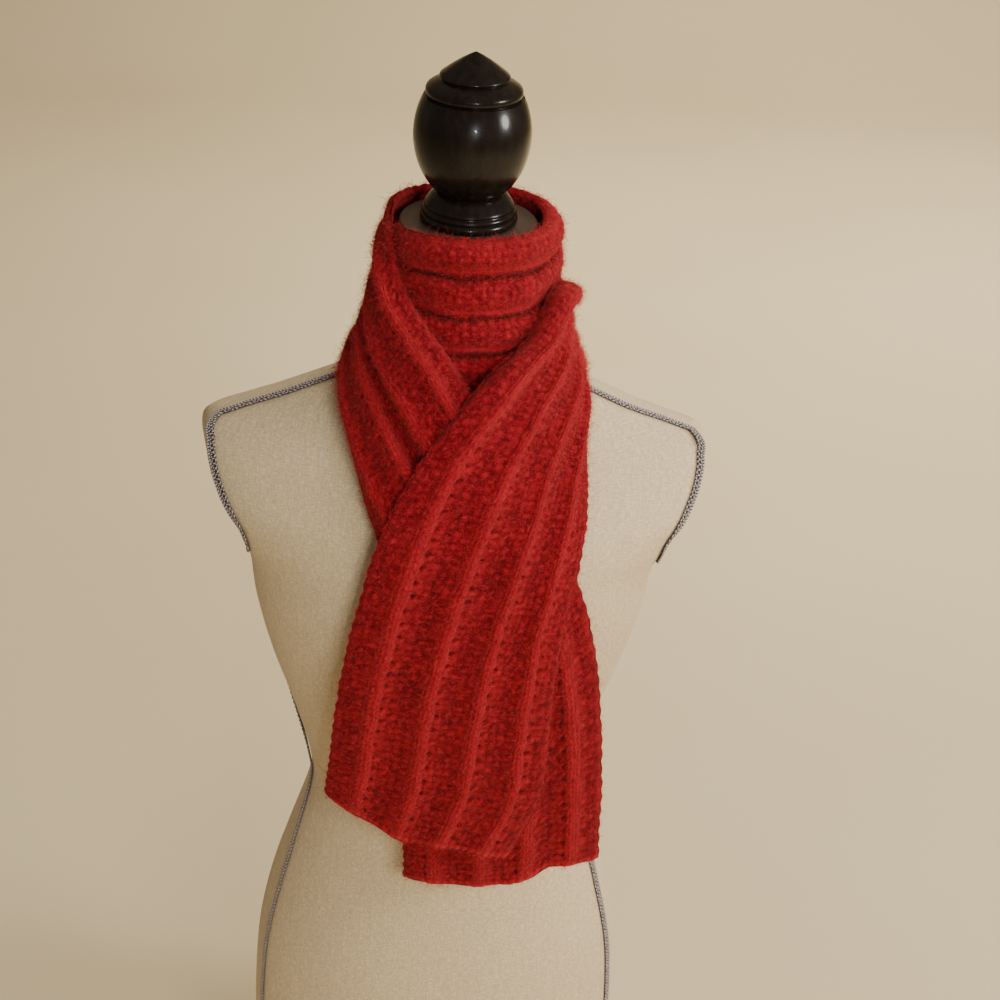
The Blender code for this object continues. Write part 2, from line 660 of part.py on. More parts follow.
def whole_sheet(places):
    """The scarf in one grid from hem to hem before it settles: points, directions outward, relief
    of the outer face, and the first and last row of each stretch. Stretches share their end rows."""
    spans, rows, droop = {}, [], []
    for name, table in stretch_tables().items():
        first = max(len(rows) - 1, 0)
        rows += list(even_rows(table, ROWS[name]))[1 if rows else 0 :]
        spans[name] = (first, len(rows) - 1)
        hem = np.interp(places, *zip(*HEMS.get(name, ((0.0, 0.0), (1.0, 0.0)))))
        droop += [hem] * (len(rows) - len(droop))
    rows = np.array(rows)
    near, far = rows[:, None, 0:3], rows[:, None, 3:6]
    crown, hem, pleat, fold, gather, tier = (rows[:, None, column] for column in range(6, 12))
    arch = np.clip(np.sin(math.pi * places), 0, 1)
    creep = BAND_CREEP * np.clip(tier / NECK_BAND[0][7], 0, 1)
    share = places + creep * np.sqrt(arch) + gather * arch**1.5
    points = near + (far - near) * share[:, :, None]
    points[:, :, 2] = PLATE_Z - points[:, :, 2] - hem * np.array(droop)
    turn = math.radians(SCARF_TURN)
    x, y = points[:, :, 0].copy(), points[:, :, 1].copy()
    points[:, :, 0] = x * math.cos(turn) - y * math.sin(turn)
    points[:, :, 1] = x * math.sin(turn) + y * math.cos(turn)
    outward = grid_normals(points)
    trough = 1 - np.exp(-(((places - 0.5) / FOLD_WIDTH) ** 2))
    lift = crown * arch + fold * trough * np.sqrt(arch)
    distance = np.min([abs(places - centre) for centre in RIBS], axis=0)
    rib = np.cos(math.pi * np.clip(distance / RIB_WIDTH, 0, 0.5))
    panel = np.array([math.sin(math.pi * panel_place(place) ** 1.3) for place in places])
    return points + outward * lift[:, :, None], outward, pleat * rib + tier * panel, spans


def grid_normals(points):
    """Directions out of the cloth's face over a grid of points along and across it."""
    along = np.gradient(points, axis=0)
    across = np.gradient(points, axis=1)
    outward = np.cross(across, along)
    return outward / np.linalg.norm(outward, axis=2, keepdims=True)


def wall_faces(rows, columns):
    """Faces of a closed wall: an outer grid, then an inner one, and the edges between them."""
    faces = []
    inner = rows * columns

    def corner(row, column):
        return row * columns + column

    for row in range(rows - 1):
        for column in range(columns - 1):
            a, b = corner(row, column), corner(row, column + 1)
            c, d = corner(row + 1, column + 1), corner(row + 1, column)
            faces.append((a, b, c, d))
            faces.append((inner + d, inner + c, inner + b, inner + a))
    for row in range(rows - 1):
        for column, order in ((0, 1), (columns - 1, -1)):
            a, b = corner(row, column), corner(row + 1, column)
            faces.append((a, b, inner + b, inner + a)[::order])
    for column in range(columns - 1):
        for row, order in ((0, -1), (rows - 1, 1)):
            a, b = corner(row, column), corner(row, column + 1)
            faces.append((a, b, inner + b, inner + a)[::order])
    return faces


def wall_points(inner, outward, relief, places):
    """The outer and inner points of the wall, which thins at both long edges."""
    edge = np.minimum(places, 1 - places)
    thickness = WALL * (EDGE_SHARE + (1 - EDGE_SHARE) * np.clip(edge / EDGE_WIDTH, 0, 1))
    outer = inner + outward * (thickness + relief)[:, :, None]
    return np.concatenate([outer.reshape(-1, 3), inner.reshape(-1, 3)])


def opened(points, span, rows):
    """A stretch's rows, drawn back from the seams it shares with the next stretches."""
    first, last = span
    part = points[first : last + 1].copy()
    for row, end, step in ((0, first, 1), (-1, last, -1)):
        if 0 < end < rows - 1:
            ahead = points[end + step] - points[end]
            part[row] += ahead / np.linalg.norm(ahead, axis=1, keepdims=True) * SEAM / 2
    return part


def build_scarf(below):
    """Each stretch is laid on the form and on the stretches under it, from the lowest to the top one."""
    places = columns_across()
    base, outward, relief, spans = whole_sheet(places)
    lift = np.zeros(base.shape[:2])
    shapes = [shape_of(obj) for obj in below]
    done = set()
    for name in LAYERS:
        first, last = spans[name]
        rows = slice(first, last + 1)
        held = {row - first: lift[row].copy() for row in (first, last) if row in done}
        lift[rows] = settled(base[rows], outward[rows], shapes, REST_GAP, held)
        done |= {first, last}
        laid = base[rows] + outward[rows] * lift[rows][:, :, None]
        corners = wall_points(laid, grid_normals(laid), relief[rows], places)
        shapes.append((corners.tolist(), wall_faces(last + 1 - first, len(places))))
    inner = base + outward * lift[:, :, None]
    facing = grid_normals(inner)
    for name, span in spans.items():
        rows = slice(span[0], span[1] + 1)
        part = opened(inner, span, len(inner))
        points = wall_points(part, facing[rows], relief[rows], places)
        add_object(name, points, wall_faces(len(part), len(places)), knit_material("knit_" + name))


def main():
    clear_scene()
    build_base()
    build_post()
    torso = build_torso()
    plate = build_plate()
    build_finial()
    braids = [build_braid("braid_left", -1, torso), build_braid("braid_right", 1, torso)]
    build_scarf([torso, plate, *braids])


main()
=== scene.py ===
"""The looks of a ribbed knit scarf on a limbless dress form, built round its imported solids.

Metres, +Z up, the front towards -Y. Heights on the form and the scarf are given as a drop below
a level just over the neck plate, and directions round the neck as an angle in degrees: 0 is the front,
90 is +X, 180 the back.
"""

import math
from functools import lru_cache

import bpy
import numpy as np
from mathutils import Matrix, Vector
from mathutils.bvhtree import BVHTree


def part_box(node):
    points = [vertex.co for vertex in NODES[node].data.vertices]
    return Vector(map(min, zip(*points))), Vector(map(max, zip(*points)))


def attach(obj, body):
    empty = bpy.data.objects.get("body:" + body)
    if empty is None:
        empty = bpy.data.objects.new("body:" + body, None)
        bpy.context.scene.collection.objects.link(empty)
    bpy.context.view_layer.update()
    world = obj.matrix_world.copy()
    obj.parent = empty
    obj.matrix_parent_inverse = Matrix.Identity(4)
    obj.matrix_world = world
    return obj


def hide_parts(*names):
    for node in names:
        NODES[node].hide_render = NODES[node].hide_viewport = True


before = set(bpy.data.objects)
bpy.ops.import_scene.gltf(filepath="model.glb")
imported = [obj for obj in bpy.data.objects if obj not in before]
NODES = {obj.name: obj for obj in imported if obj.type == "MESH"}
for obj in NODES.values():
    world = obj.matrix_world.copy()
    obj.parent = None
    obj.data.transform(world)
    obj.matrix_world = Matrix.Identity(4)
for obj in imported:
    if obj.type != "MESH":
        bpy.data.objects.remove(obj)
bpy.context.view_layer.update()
BASE_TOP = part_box("base")[1].z
POST_HEIGHT = 0.1
FORM_HEIGHT = 0.74
PLATE_Z = BASE_TOP + POST_HEIGHT + FORM_HEIGHT  # the level that drops are counted from
SEED = 7


def in_metres(units, rows):
    """The rows with each column whose unit is m, which stands for millimetres, turned into metres."""
    return [tuple(value / 1000 if unit == "m" else value for unit, value in zip(units, row)) for row in rows]


# Scarf
SCARF_TURN = -4.2  # how far it sits turned round the form, in degrees
WALL = 0.0046
RIB_WIDTH = 0.1  # widths and places across it are shares of the scarf's width
RIBS = (0.155, 0.385, 0.615, 0.845)
REST_GAP = 0.0011  # between a stretch and what it lies on
REACH = 0.06  # how far out the search for what is below starts
SPLITS = 4  # rays for each step of the grid that settles
SETTLE_STEPS = 10
EDGE_SHARE = 0.55  # of the wall's thickness that is left at an edge
EDGE_WIDTH = 0.05
FOLD_WIDTH = 0.13
BAND_CREEP = 0.055  # how far the ribs creep to the far edge round the neck
CREEP_TIER = 0.0012  # tier at which they do so in full
BAND_TIER = 0.0036  # tier at which the stitches are those of the band

# Knit
STITCHES = 26  # across the scarf
RIB_STITCHES = (4, 10, 16, 22)  # the middle of each rib, in stitches from the edge
RIB_PITCH = 6  # stitches from rib to rib
ROW_PITCH = 0.0052  # one row of stitches
ROW_SAMPLES = 4  # points along each row's height
PANEL_SAMPLES = 4  # points across each stitch of the panels
RIB_SAMPLES = 22  # and across each rib, which reaches this far round its middle
RIB_REACH = (-1.25, 1.5)
EDGE_SAMPLES = (0.015, 0.05, 0.11)  # more points beside each long edge, in stitches from it
INNER_STEP = 4  # the plain inner face has one point for this many of the outer
INNER_FINE = 12  # columns of the inner face by the near edge that are as fine as the outer's
STITCH_SINK = 0.0013  # how far the knit's mean lies under the solid's face
STITCH_DRIFT = (0.2, 0.28)  # how far stitches wander across and along, in stitches
DRIFT_SPACING = 9  # points from one wandering value to the next
PURL_RELIEF = 0.0015
RIB_RISE = 0.0009
BAND_GROOVE = 0.0026
EYELET_DEPTH = 0.0017
EDGE_ROLL = 0.001
SCALLOP = 0.0011
SCALLOP_REACH = 0.8  # in stitches from the edge
HEM_ROLL = 0.0012
PAINTED_SHADE_HEIGHT = 0.0042  # the height over which the painted shade goes from dark in the hollows to light on the tops
ROLL_RADIUS = 0.053  # how close the rolled rim comes to the middle of the neck
ROLL_REACH = 0.0085  # how far it rolls in at most
ROLL_HEIGHT = 0.0052  # half of its height
ROLL_FADE = 0.006  # it starts this far below the plate's level
TUBE_BULGE = 0.01  # of the near edge where it doubles over on the right shoulder
TUBE_ROWS = 70  # samples along it to either side
TUBE_STITCHES = 5.6  # how much of the width doubles over
TUBE_AHEAD = 40  # how far its middle lies before the end of the front tail
CALM_ROWS = 80  # samples to either side over which the pleats lie flat where they turn to the back
CALM_PAST = 25  # how far the middle of those lies past the end of the front tail
CALM_FADE = 35  # samples over which the pleats come back
RIM_RISE = 0.0045  # how far the rolled rim stands up behind the finial
RIM_BEHIND = (-0.02, 0.05)  # y from which it starts to, and the distance over which it does
RIM_FADE = 2.5  # stitches from the edge over which it ends
FIBRES_PER_M2 = 600000
FIBRE_WIDTH = 0.0002
FIBRE_LENGTH = 0.0012  # of the shortest
FIBRE_LENGTHS = (4.0, 0.0009)  # shape and scale of the gamma spread that is added to it
LONG_FIBRES = (0.02, 2.4)  # their share, and how many times as long they are
FIBRE_SPREAD = 0.0006  # of the roots
FIBRE_DEPTH = 0.0005

# Dress form
SEAM = 0.0003
PLATE_RADIUS = 0.0505
PLATE_HEIGHT = 0.0055
PLATE_SEAT = 0.007  # drop of the plate's underside
NECK_LEAN = math.radians(4.8)  # how far the neck's top, the plate and the finial lean to the front
NECK_LEVEL = 0.06  # drop at which the neck starts to lean
FORM_SHIFT = -0.0026  # to the side, below the neck
SHOULDER_FALL = 0.004  # of the right shoulder below the left one
ARMHOLE_TOP = 0.156
ARMHOLE_BOTTOM = 0.256
ARMHOLE_CUT = 0.095  # share of the half width that the flat armhole takes off
ARMHOLE_TILT = 0.17
LAST_RIM = 84.0  # degrees from the front past which the rim doesn't go
QUARTER = 11  # columns of the solid in a quarter turn
ARMHOLE_COLUMN = 9  # the one that follows the armhole's rim
ARMHOLE_FADE = 0.02
FORM_SPLIT = 4  # columns of the skin for each of the solid's
FORM_STEP = 0.006  # most height between its rows
FORM_SHARP = 50  # degrees at an edge over which it isn't smooth
CHEST_EASED = 0.26  # drop at which the skin is eased over the sections under the armholes
CHEST_REACH = 0.022
CHEST_STEPS = 14

# Trim
BRAID_TOP = 0.11
BRAID_BOTTOM = 0.735
BRAID_STEPS = 400
NEAR = 0.003  # drop to either side that a direction is read over
BRAID_PITCH = 0.0039  # one eye of the trim
BRAID_SAMPLES = 8
BRAID_SEAT = 0.0007
BRAID_EYES = -0.0014  # how far to the side the line of eyes is, from the trim's middle
BRAID_LOOP = 0.0021  # how far each looped cord swings to a side
BRAID_EDGE = 0.0026  # where the twisted cord beside them is
BRAID_TAPE = (-0.0033, 0.0034)  # the edges of the tape
CORD_RADII = (0.00055, 0.00055, 0.001)
CORD_SIDES = 6
CORD_LIFT = (0.001, 0.001, 0.0007)  # of each cord's middle over the tape
CROSSING_LIFT = 0.0004  # of one looped cord over the other where they cross
CORD_TWIST = 0.0026  # length of one turn
TAPE_THICKNESS = 0.0005
# The cords' own pale colour, and a dark colour painted as shade in the grooves of their twist
BRAID_COLOUR_AND_GROOVE_SHADE = ((0.52, 0.45, 0.43), (0.07, 0.055, 0.06))
SIDE = {-1: "left", 1: "right"}
# The form's column that the middle of the braid follows, by drop: the shoulder, the armhole's rim,
# the side under the arm and the hip
BRAID_COLUMNS = in_metres("m1", (
    (110, 10.2), (148, 10), (156, 9.2), (164, 8.55), (208, 8.6), (224, 8.85), (240, 9.15), (250, 9.6),
    (260, 10.6), (270, 11.3), (300, 12), (346, 12), (444, 10), (526, 8.8), (561, 8.6), (735, 8.6),
))
BRAID_SHARES = {-1: ((0.4, 1.0), (0.46, 0.4)), 1: ((0.4, 1.0), (0.46, 1.0))}  # of its width, by drop
# How far it lies forward of that, in columns, by drop
BRAID_FORWARD = {-1: ((0.11, 0.0), (0.2, 0.0)), 1: ((0.11, 0.7), (0.14, 0.4), (0.155, 0.0))}

# Turned pieces, as radius and height
LATHE_STEPS = 112
LATHE_SHARP = 38
PLATE_BEZEL = 0.0012
FINIAL_BEZEL = 0.0004
BALL_STEPS = 60
BASE_RADIUS = 0.135
BASE_ROUND = 0.018  # width of its rounded edge
BALL_RADIUS = 0.0423
BALL_HALF_HEIGHT = 0.0518
BALL_Z = 0.0646
BALL_ENDS = (-0.0418, 0.0274)
FINIAL_FOOT = in_metres("mm", (
    (0, 0), (34, 0), (35.2, 0.8), (35.5, 2), (35.4, 3.6), (34.8, 5.2), (33.7, 6.1), (34.5, 6.9), (34.6, 8),
    (34.1, 9.7), (32.3, 10.7), (33, 11.5), (32.9, 12.7), (31.9, 14.3), (30, 17), (28, 19.4), (26.2, 21),
    (24, 22.3),
))
FINIAL_CAP = in_metres("mm", (
    (33.6, 92.3), (33.5, 92.9), (34.2, 93.6), (34.6, 94.8), (34.7, 96.2), (34.5, 97.6), (33.8, 99),
    (32, 100.5), (29, 102.2), (26.2, 103.5), (23.8, 104.5), (24.1, 105.1), (25.1, 105.8), (25.2, 106.5),
    (24.7, 107.6), (21.2, 110.4), (16, 114.3), (10.5, 118.1), (5, 121.4), (1.6, 123.2), (0, 123.9),
))
POST = in_metres("mm", (
    (0, 0), (30, 0), (31, 4), (29, 9), (21, 12), (17, 20), (21.2, 38), (22.4, 50), (20.1, 64), (15.6, 78),
    (24, 84), (24, 88), (40, 92),
))

# Camera and lights
CAMERA_PLACE = (0.0333, -1.405, 0.4135)  # its height is over the level that drops are counted from
CAMERA_LENS = 72.0
CAMERA_SENSOR = 36.0
CAMERA_PITCH = 24.4
CAMERA_ROLL = 2.95
TARGET = (0.0, 0.0, 0.66)
# Name, place, target, size, power, colour and whether glossy pieces mirror it
LIGHTS = (
    ("flash", (0.1, -1.72, 1.06), TARGET, 0.1, 4.5, (0.93, 0.97, 1.0), True),
    ("window", (1.9, -0.9, 1.35), TARGET, 0.6, 32.0, (1.0, 0.97, 0.92), True),
    ("front", (0.45, -1.8, 1.3), TARGET, 0.5, 15.5, (1.0, 0.92, 0.79), False),
    ("ceiling", (0.6, -0.4, 2.1), TARGET, 1.2, 13.0, (1.0, 0.92, 0.79), False),
    ("far", (1.3, 2.4, 2.4), (0.8, 2.9, 0.0), 2.4, 115.0, (1.0, 0.92, 0.76), False),
)
SKY = ((1.0, 0.93, 0.84, 1.0), 0.22)

# Rows at the start of each stretch whose inner face shows where the edge rolls in
FINE_ROWS = {"tail_over": 0, "back_wrap": 0, "neck_band": 400, "tail_under": 150}

# Sections of the form: drop, half width, front depth, back depth, squareness of the outline
FORM_SECTIONS = in_metres("mmmm1", (
    (7.3, 47.5, 47.5, 47.5, 2), (60, 48, 48, 48, 2), (90, 49.2, 49.5, 50, 2), (102, 53, 52, 54, 2),
    (110, 64, 54.5, 59, 2), (123.5, 95.6, 61, 68, 2), (136, 127, 68, 76, 2), (148, 158, 75, 83, 2),
    (156, 180, 80, 86.8, 2.1), (164, 188.5, 84.5, 90.2, 2.1), (175, 190, 90.5, 94, 2.2),
    (190, 188, 98.5, 97.5, 2.2), (207, 181, 107, 100, 2.3), (224, 168.4, 113.5, 101.5, 2.3),
    (240, 160.3, 118, 101.8, 2.3), (252, 156.8, 120, 101.5, 2.3), (260, 155.6, 120.9, 101.2, 2.3),
    (270, 155, 121.5, 101, 2.3), (300, 151.2, 119, 98, 2.2), (346, 139.7, 108, 92, 2.1),
    (399, 121.4, 94, 86, 2.1), (444, 108.7, 86.5, 83, 2.1), (470, 108.4, 85, 84, 2.1),
    (526, 126.5, 88, 94, 2.1), (561, 137.5, 92, 103, 2.1), (600, 146.5, 95.5, 111, 2.2),
    (635, 151, 97, 115, 2.2), (690, 153, 97.5, 116, 2.2), (730, 151, 96, 113, 2.2),
    (740, 145, 90, 107, 2.2),
))

# Sections of the tail on top, from the shoulder to the hem: inner edge x, y, drop, outer edge x, y, drop,
# crown (the middle's bulge), hem (share of the hem's droop), pleat (relief of the ribs) and gather (how
# far the ribs crowd towards the outer edge, as a share of the width)
TAIL_OVER = in_metres("mmmmmmm1m1", (
    (70, 0, 44, 89, 0, 113, -4, 0, 4, 0), (60.5, -36, 40, 89, -22, 117, 2, 0, 4.2, 0.02),
    (45, -64, 68, 90.5, -47, 130, 8, 0, 4.2, 0.05), (15.6, -95, 90, 93.5, -70, 147, 9, 0, 3.8, 0.08),
    (-20, -118, 135, 96, -90, 169, 7, 0, 3.4, 0.09), (-44, -133, 180, 95.5, -104, 198, 6, 0, 3, 0.09),
    (-56, -139, 215, 91.5, -116, 228, 5, 0, 2.8, 0.08), (-66, -141, 257, 85.5, -125, 265, 4, 0, 2.6, 0.06),
    (-74.4, -140, 299, 81.3, -131, 310, 4, 0, 2.5, 0.04),
    (-80, -138, 343, 79, -132, 362, 4, 0.1, 2.5, 0.02),
    (-83.5, -136, 379, 75.5, -132, 408, 4, 0.5, 2.5, 0.01), (-87, -134, 411, 53, -132, 462, 4, 1, 2.5, 0),
))

# Sections round the neck: angle, top radius, top drop, bottom radius, bottom drop, crown,
# pleat (relief of the ribs) and tier (bulge of each panel between the ribs)
ROUND_NECK = in_metres("1mmmmmmm", (
    (90, 70, 44, 89, 113, -4, 4, 0), (105, 72, 56, 88, 118, 0, 3.8, 0), (120, 70, 73, 89, 127, 2, 3.5, 0),
    (140, 67, 79, 90, 141, 2, 3, 0), (160, 62, 76, 91, 153, 1, 2.8, 0), (180, 58, 68, 93, 162, 0, 2.5, 0),
    (200, 55, 56, 90, 152, -2, 2.2, 0), (220, 53, 40, 84, 137, -6, 2, 0),
    (240, 52, 22, 73, 117, -8, 1.5, 0.6), (255, 51.8, 10, 62, 105, -6, 1, 1.2),
    (285, 52, 4, 62, 105, -4, 0.8, 1.6), (320, 53, 1, 68, 110, 0, 0.6, 3.6),
    (360, 53.5, 0, 74, 114, 1, 0.6, 4.2), (400, 56, -1, 73, 111, 0.5, 0.6, 4.6),
    (435, 60, -3, 65, 96, 0, 0.8, 4.8), (460, 61, -5, 62.5, 79, 0, 1, 4.4),
    (480, 61, -6, 62, 69, 0, 1.2, 4), (500, 60, -6.5, 66, 74, 0, 1.4, 3.6),
    (520, 59.5, -7, 72, 86, 0, 1.6, 3.2), (540, 59.5, -7, 75, 96, 0, 1.8, 2.8),
    (560, 59.5, -7, 76, 104, -2, 2, 2.2), (580, 59, -7, 78, 110, -6, 2.2, 1.6),
    (600, 59, -6.5, 80, 114, -10, 2.4, 0.6), (618, 59, -4, 83, 115, -7, 2.6, 0),
))
BAND_START, BAND_END = 9, 16  # its rows where the band starts and ends

# Sections of the tail beneath, from the left shoulder to its hem: as above, but last comes fold (depth of
# a long fold down the middle)
TAIL_UNDER = in_metres("mmmmmmm1mm", (
    (-53, -30, 7, -82, -36, 123, -3, 0, 2.8, 5), (-43, -50, 36, -78, -62, 139, 2, 0, 3.2, 9),
    (-26.8, -66, 58.6, -70, -88, 160, 4, 0, 3.4, 10), (-9, -80, 77, -61, -108, 185, 5, 0, 3.4, 10),
    (12, -94, 106, -51, -121, 213, 5, 0, 3, 8), (40, -106, 148, -45, -126, 256, 5, 0, 2.8, 5),
    (70, -113, 193, -40, -127, 304, 4, 0, 2.6, 2), (94, -115, 238, -35, -126, 346, 4, 0, 2.5, 0),
    (111, -112, 300, -31, -124, 388, 4, 0, 2.5, 0), (120.5, -108, 385, -28.5, -121, 438, 4, 0.3, 2.5, 0),
    (124, -102, 478, -26.5, -118, 494, 4, 1, 2.5, 0),
))

# Droop of each hem below the line between its corners, by place across the width
HEMS = {
    "tail_over": ((0.0, 0.0), (0.2, 0.0065), (0.43, 0.014), (0.67, 0.0068), (1.0, 0.0)),
    "tail_under": ((0.0, 0.0), (0.26, 0.0), (0.34, 0.007), (0.46, 0.0115), (0.7, 0.009), (1.0, 0.0)),
}

# The stretches from the lowest to the top one
LAYERS = ("neck_band", "back_wrap", "tail_under", "tail_over")

# Rows of points along each stretch
ROWS = {"tail_over": 31, "back_wrap": 15, "neck_band": 21, "tail_under": 41}


# Materials


class Finish:
    """A Principled material with short calls for the nodes that feed it."""

    def __init__(self, name, colour, roughness, **inputs):
        self.material = bpy.data.materials.new(name)
        self.material.use_nodes = True
        self.tree = self.material.node_tree
        self.shader = self.tree.nodes["Principled BSDF"]
        self.shader.inputs["Base Color"].default_value = (*colour, 1.0)
        self.shader.inputs["Roughness"].default_value = roughness
        for key, value in inputs.items():
            self.shader.inputs[key.replace("_", " ")].default_value = value

    def node(self, kind, sockets=(), **settings):
        made = self.tree.nodes.new(kind)
        for key, value in settings.items():
            setattr(made, key, value)
        for key, value in dict(sockets).items():
            if isinstance(value, bpy.types.NodeSocket):
                self.tree.links.new(value, made.inputs[key])
            else:
                made.inputs[key].default_value = value
        return made

    def scaled(self, vector, scale):
        return self.node("ShaderNodeMapping", {"Vector": vector, "Scale": scale}).outputs["Vector"]

    def noise(self, vector, scale, detail=3.0, roughness=0.55):
        sockets = {"Vector": vector, "Scale": scale, "Detail": detail, "Roughness": roughness}
        return self.node("ShaderNodeTexNoise", sockets).outputs["Fac"]

    def math(self, operation, *values):
        return self.node("ShaderNodeMath", enumerate(values), operation=operation).outputs[0]

    def ramp(self, factor, stops):
        made = self.node("ShaderNodeValToRGB", {"Fac": factor})
        ramp = made.color_ramp
        while len(ramp.elements) < len(stops):
            ramp.elements.new(0.5)
        for element, (place, colour) in zip(ramp.elements, stops):
            element.position = place
            element.color = (*colour, 1.0)
        return made.outputs["Color"]

    def feed(self, name, socket):
        self.tree.links.new(socket, self.shader.inputs[name])

    def paint(self, factor, *stops):
        self.feed("Base Color", self.ramp(factor, stops))

    def bump(self, height, distance, strength=1.0):
        sockets = {"Height": height, "Distance": distance, "Strength": strength}
        self.feed("Normal", self.node("ShaderNodeBump", sockets).outputs["Normal"])

    def object_place(self):
        return self.node("ShaderNodeTexCoord").outputs["Object"]

    def attribute(self, name):
        return self.node("ShaderNodeAttribute", attribute_name=name).outputs["Fac"]


def knit_finish():
    """Fuzzy red wool, with painted shade in the hollows between stitches and a painted lighter, hazier
    highlight on their tops.
    """
    sheen = {"Sheen Weight": 0.22, "Sheen Roughness": 0.5, "Sheen Tint": (1.0, 0.24, 0.18, 1.0)}
    finish = Finish("red_wool", (0.4, 0.008, 0.014), 0.95, Specular_IOR_Level=0.1, **sheen)
    place = finish.object_place()
    fine = finish.noise(place, 900.0, 3.0, 0.7)
    soft = finish.noise(place, 260.0, 2.0, 0.6)
    patch = finish.noise(place, 55.0, 2.0)
    # The relief attribute holds the stitches' colour with painted shade and highlight, not a height.
    height = finish.attribute("relief")
    grain = finish.math("MULTIPLY_ADD", fine, 0.7, finish.math("MULTIPLY", soft, 0.6))
    painted_shade_and_grain = finish.math("ADD", height, finish.math("SUBTRACT", grain, 0.65))
    # From painted shade in the hollows to a painted pinkish highlight on the stitch tops.
    stops = (
        (0.0, (0.066, 0.0016, 0.0035)),
        (0.26, (0.185, 0.0047, 0.0108)),
        (0.58, (0.38, 0.0126, 0.0235)),
        (1.0, (0.56, 0.0285, 0.04)),
    )
    colour = finish.ramp(painted_shade_and_grain, stops)
    shade = finish.ramp(patch, ((0.3, (0.84, 0.84, 0.84)), (0.7, (1.0, 1.0, 1.0))))
    sockets = {0: 1.0, 6: colour, 7: shade}
    shaded = finish.node("ShaderNodeMix", sockets, data_type="RGBA", blend_type="MULTIPLY")
    finish.feed("Base Color", shaded.outputs[2])
    finish.bump(finish.noise(place, 1500.0, 4.0, 0.75), 0.0009, 0.8)
    return finish.material


def fibre_finish():
    finish = Finish("wool_fibre", (0.52, 0.017, 0.025), 0.9, Sheen_Weight=0.2, Specular_IOR_Level=0.15)
    place = finish.object_place()
    finish.paint(finish.noise(place, 700.0, 2.0), (0.3, (0.36, 0.008, 0.013)), (0.75, (0.62, 0.024, 0.034)))
    return finish.material


def linen_finish():
    """Plain-woven linen: thick and thin threads both ways, with a few slubs."""
    sheen = {"Sheen Weight": 0.12, "Sheen Roughness": 0.4}
    finish = Finish("linen_weave", (0.66, 0.54, 0.39), 0.88, Specular_IOR_Level=0.2, **sheen)
    cloth = finish.node("ShaderNodeUVMap", uv_map="cloth").outputs["UV"]
    scales = ((1050.0, 210.0, 2.0), (210.0, 1050.0, 2.0), (1900.0, 1900.0, 1.0), (300.0, 40.0, 2.0))
    upright, level, thread, slub = (
        finish.noise(finish.scaled(cloth, (*scale, 1.0)), 1.0, detail) for *scale, detail in scales
    )
    threads = finish.math("MULTIPLY_ADD", thread, 0.35, finish.math("MAXIMUM", upright, level))
    weave = finish.math("MULTIPLY_ADD", slub, 0.2, threads)
    half = finish.math("MULTIPLY", weave, 0.5)
    finish.paint(half, (0.35, (0.56, 0.43, 0.262)), (0.425, (0.67, 0.53, 0.335)), (0.5, (0.79, 0.65, 0.435)))
    finish.bump(weave, 0.0005, 0.5)
    return finish.material


def wood_finish():
    """Dark lacquered wood: nearly black brown, with a fine grain and a coat that isn't quite even."""
    coat = {"Coat Weight": 0.12, "Coat Roughness": 0.06}
    finish = Finish("lacquered_wood", (0.008, 0.005, 0.0035), 0.28, Specular_IOR_Level=0.22, **coat)
    place = finish.object_place()
    grain = finish.noise(finish.scaled(place, (60.0, 60.0, 9.0)), 3.0, 5.0, 0.6)
    finish.paint(grain, (0.3, (0.0045, 0.003, 0.0022)), (0.7, (0.014, 0.0085, 0.006)))
    wear = finish.noise(place, 38.0, 4.0)
    finish.feed("Roughness", finish.ramp(wear, ((0.35, (0.2,) * 3), (0.75, (0.38,) * 3))))
    finish.bump(grain, 0.0003, 0.25)
    return finish.material


def plate_finish():
    """The grey-brown cap of the neck: satin, with faint rings from turning."""
    finish = Finish("neck_cap", (0.062, 0.042, 0.031), 0.45, Coat_Weight=0.15, Coat_Roughness=0.3)
    place = finish.object_place()
    speck = finish.noise(place, 420.0, 4.0, 0.7)
    finish.paint(speck, (0.3, (0.05, 0.034, 0.025)), (0.7, (0.078, 0.054, 0.04)))
    sockets = {"Vector": place, "Scale": 260.0, "Distortion": 0.4, "Detail": 1.0}
    rings = finish.node("ShaderNodeTexWave", sockets, wave_type="RINGS", rings_direction="Z").outputs["Fac"]
    finish.bump(rings, 0.00008, 0.5)
    return finish.material


def cord_finish(colour, dark):
    """Twisted cord of the trim, its turns marked by an attribute that counts them, with painted shade in the
    grooves between the turns.
    """
    finish = Finish("gimp", colour, 0.6, Sheen_Weight=0.2)
    turn = finish.attribute("twist")
    wave = finish.math("SINE", finish.math("MULTIPLY", turn, math.tau))
    lit = finish.math("MULTIPLY_ADD", wave, 0.5, 0.5)
    # Painted shade: the dark colour is painted in the grooves of the twist, the pale one on the strands
    # between.
    finish.paint(lit, (0.1, dark), (0.75, colour))
    finish.bump(lit, 0.0003, 0.6)
    return finish.material


def floor_finish():
    finish = Finish("pale_floor", (0.73, 0.6, 0.39), 0.9, Specular_IOR_Level=0.1)
    broad = finish.noise(finish.object_place(), 0.9, 2.0)
    finish.paint(broad, (0.3, (0.71, 0.585, 0.375)), (0.7, (0.75, 0.625, 0.415)))
    return finish.material


# Meshes


def link(name, data):
    made = bpy.data.objects.new(name, data)
    bpy.context.scene.collection.objects.link(made)
    return made


def add_object(name, points, faces, finish, sharp=None):
    mesh = bpy.data.meshes.new(name)
    mesh.from_pydata(np.asarray(points).tolist(), [], faces)
    mesh.materials.append(finish)
    mesh.shade_smooth()
    if sharp is not None:
        mesh.set_sharp_from_angle(angle=math.radians(sharp))
    return link(name, mesh)


def add_attribute(piece, name, values):
    layer = piece.data.attributes.new(name, "FLOAT", "POINT")
    layer.data.foreach_set("value", np.asarray(values, np.float32).ravel())


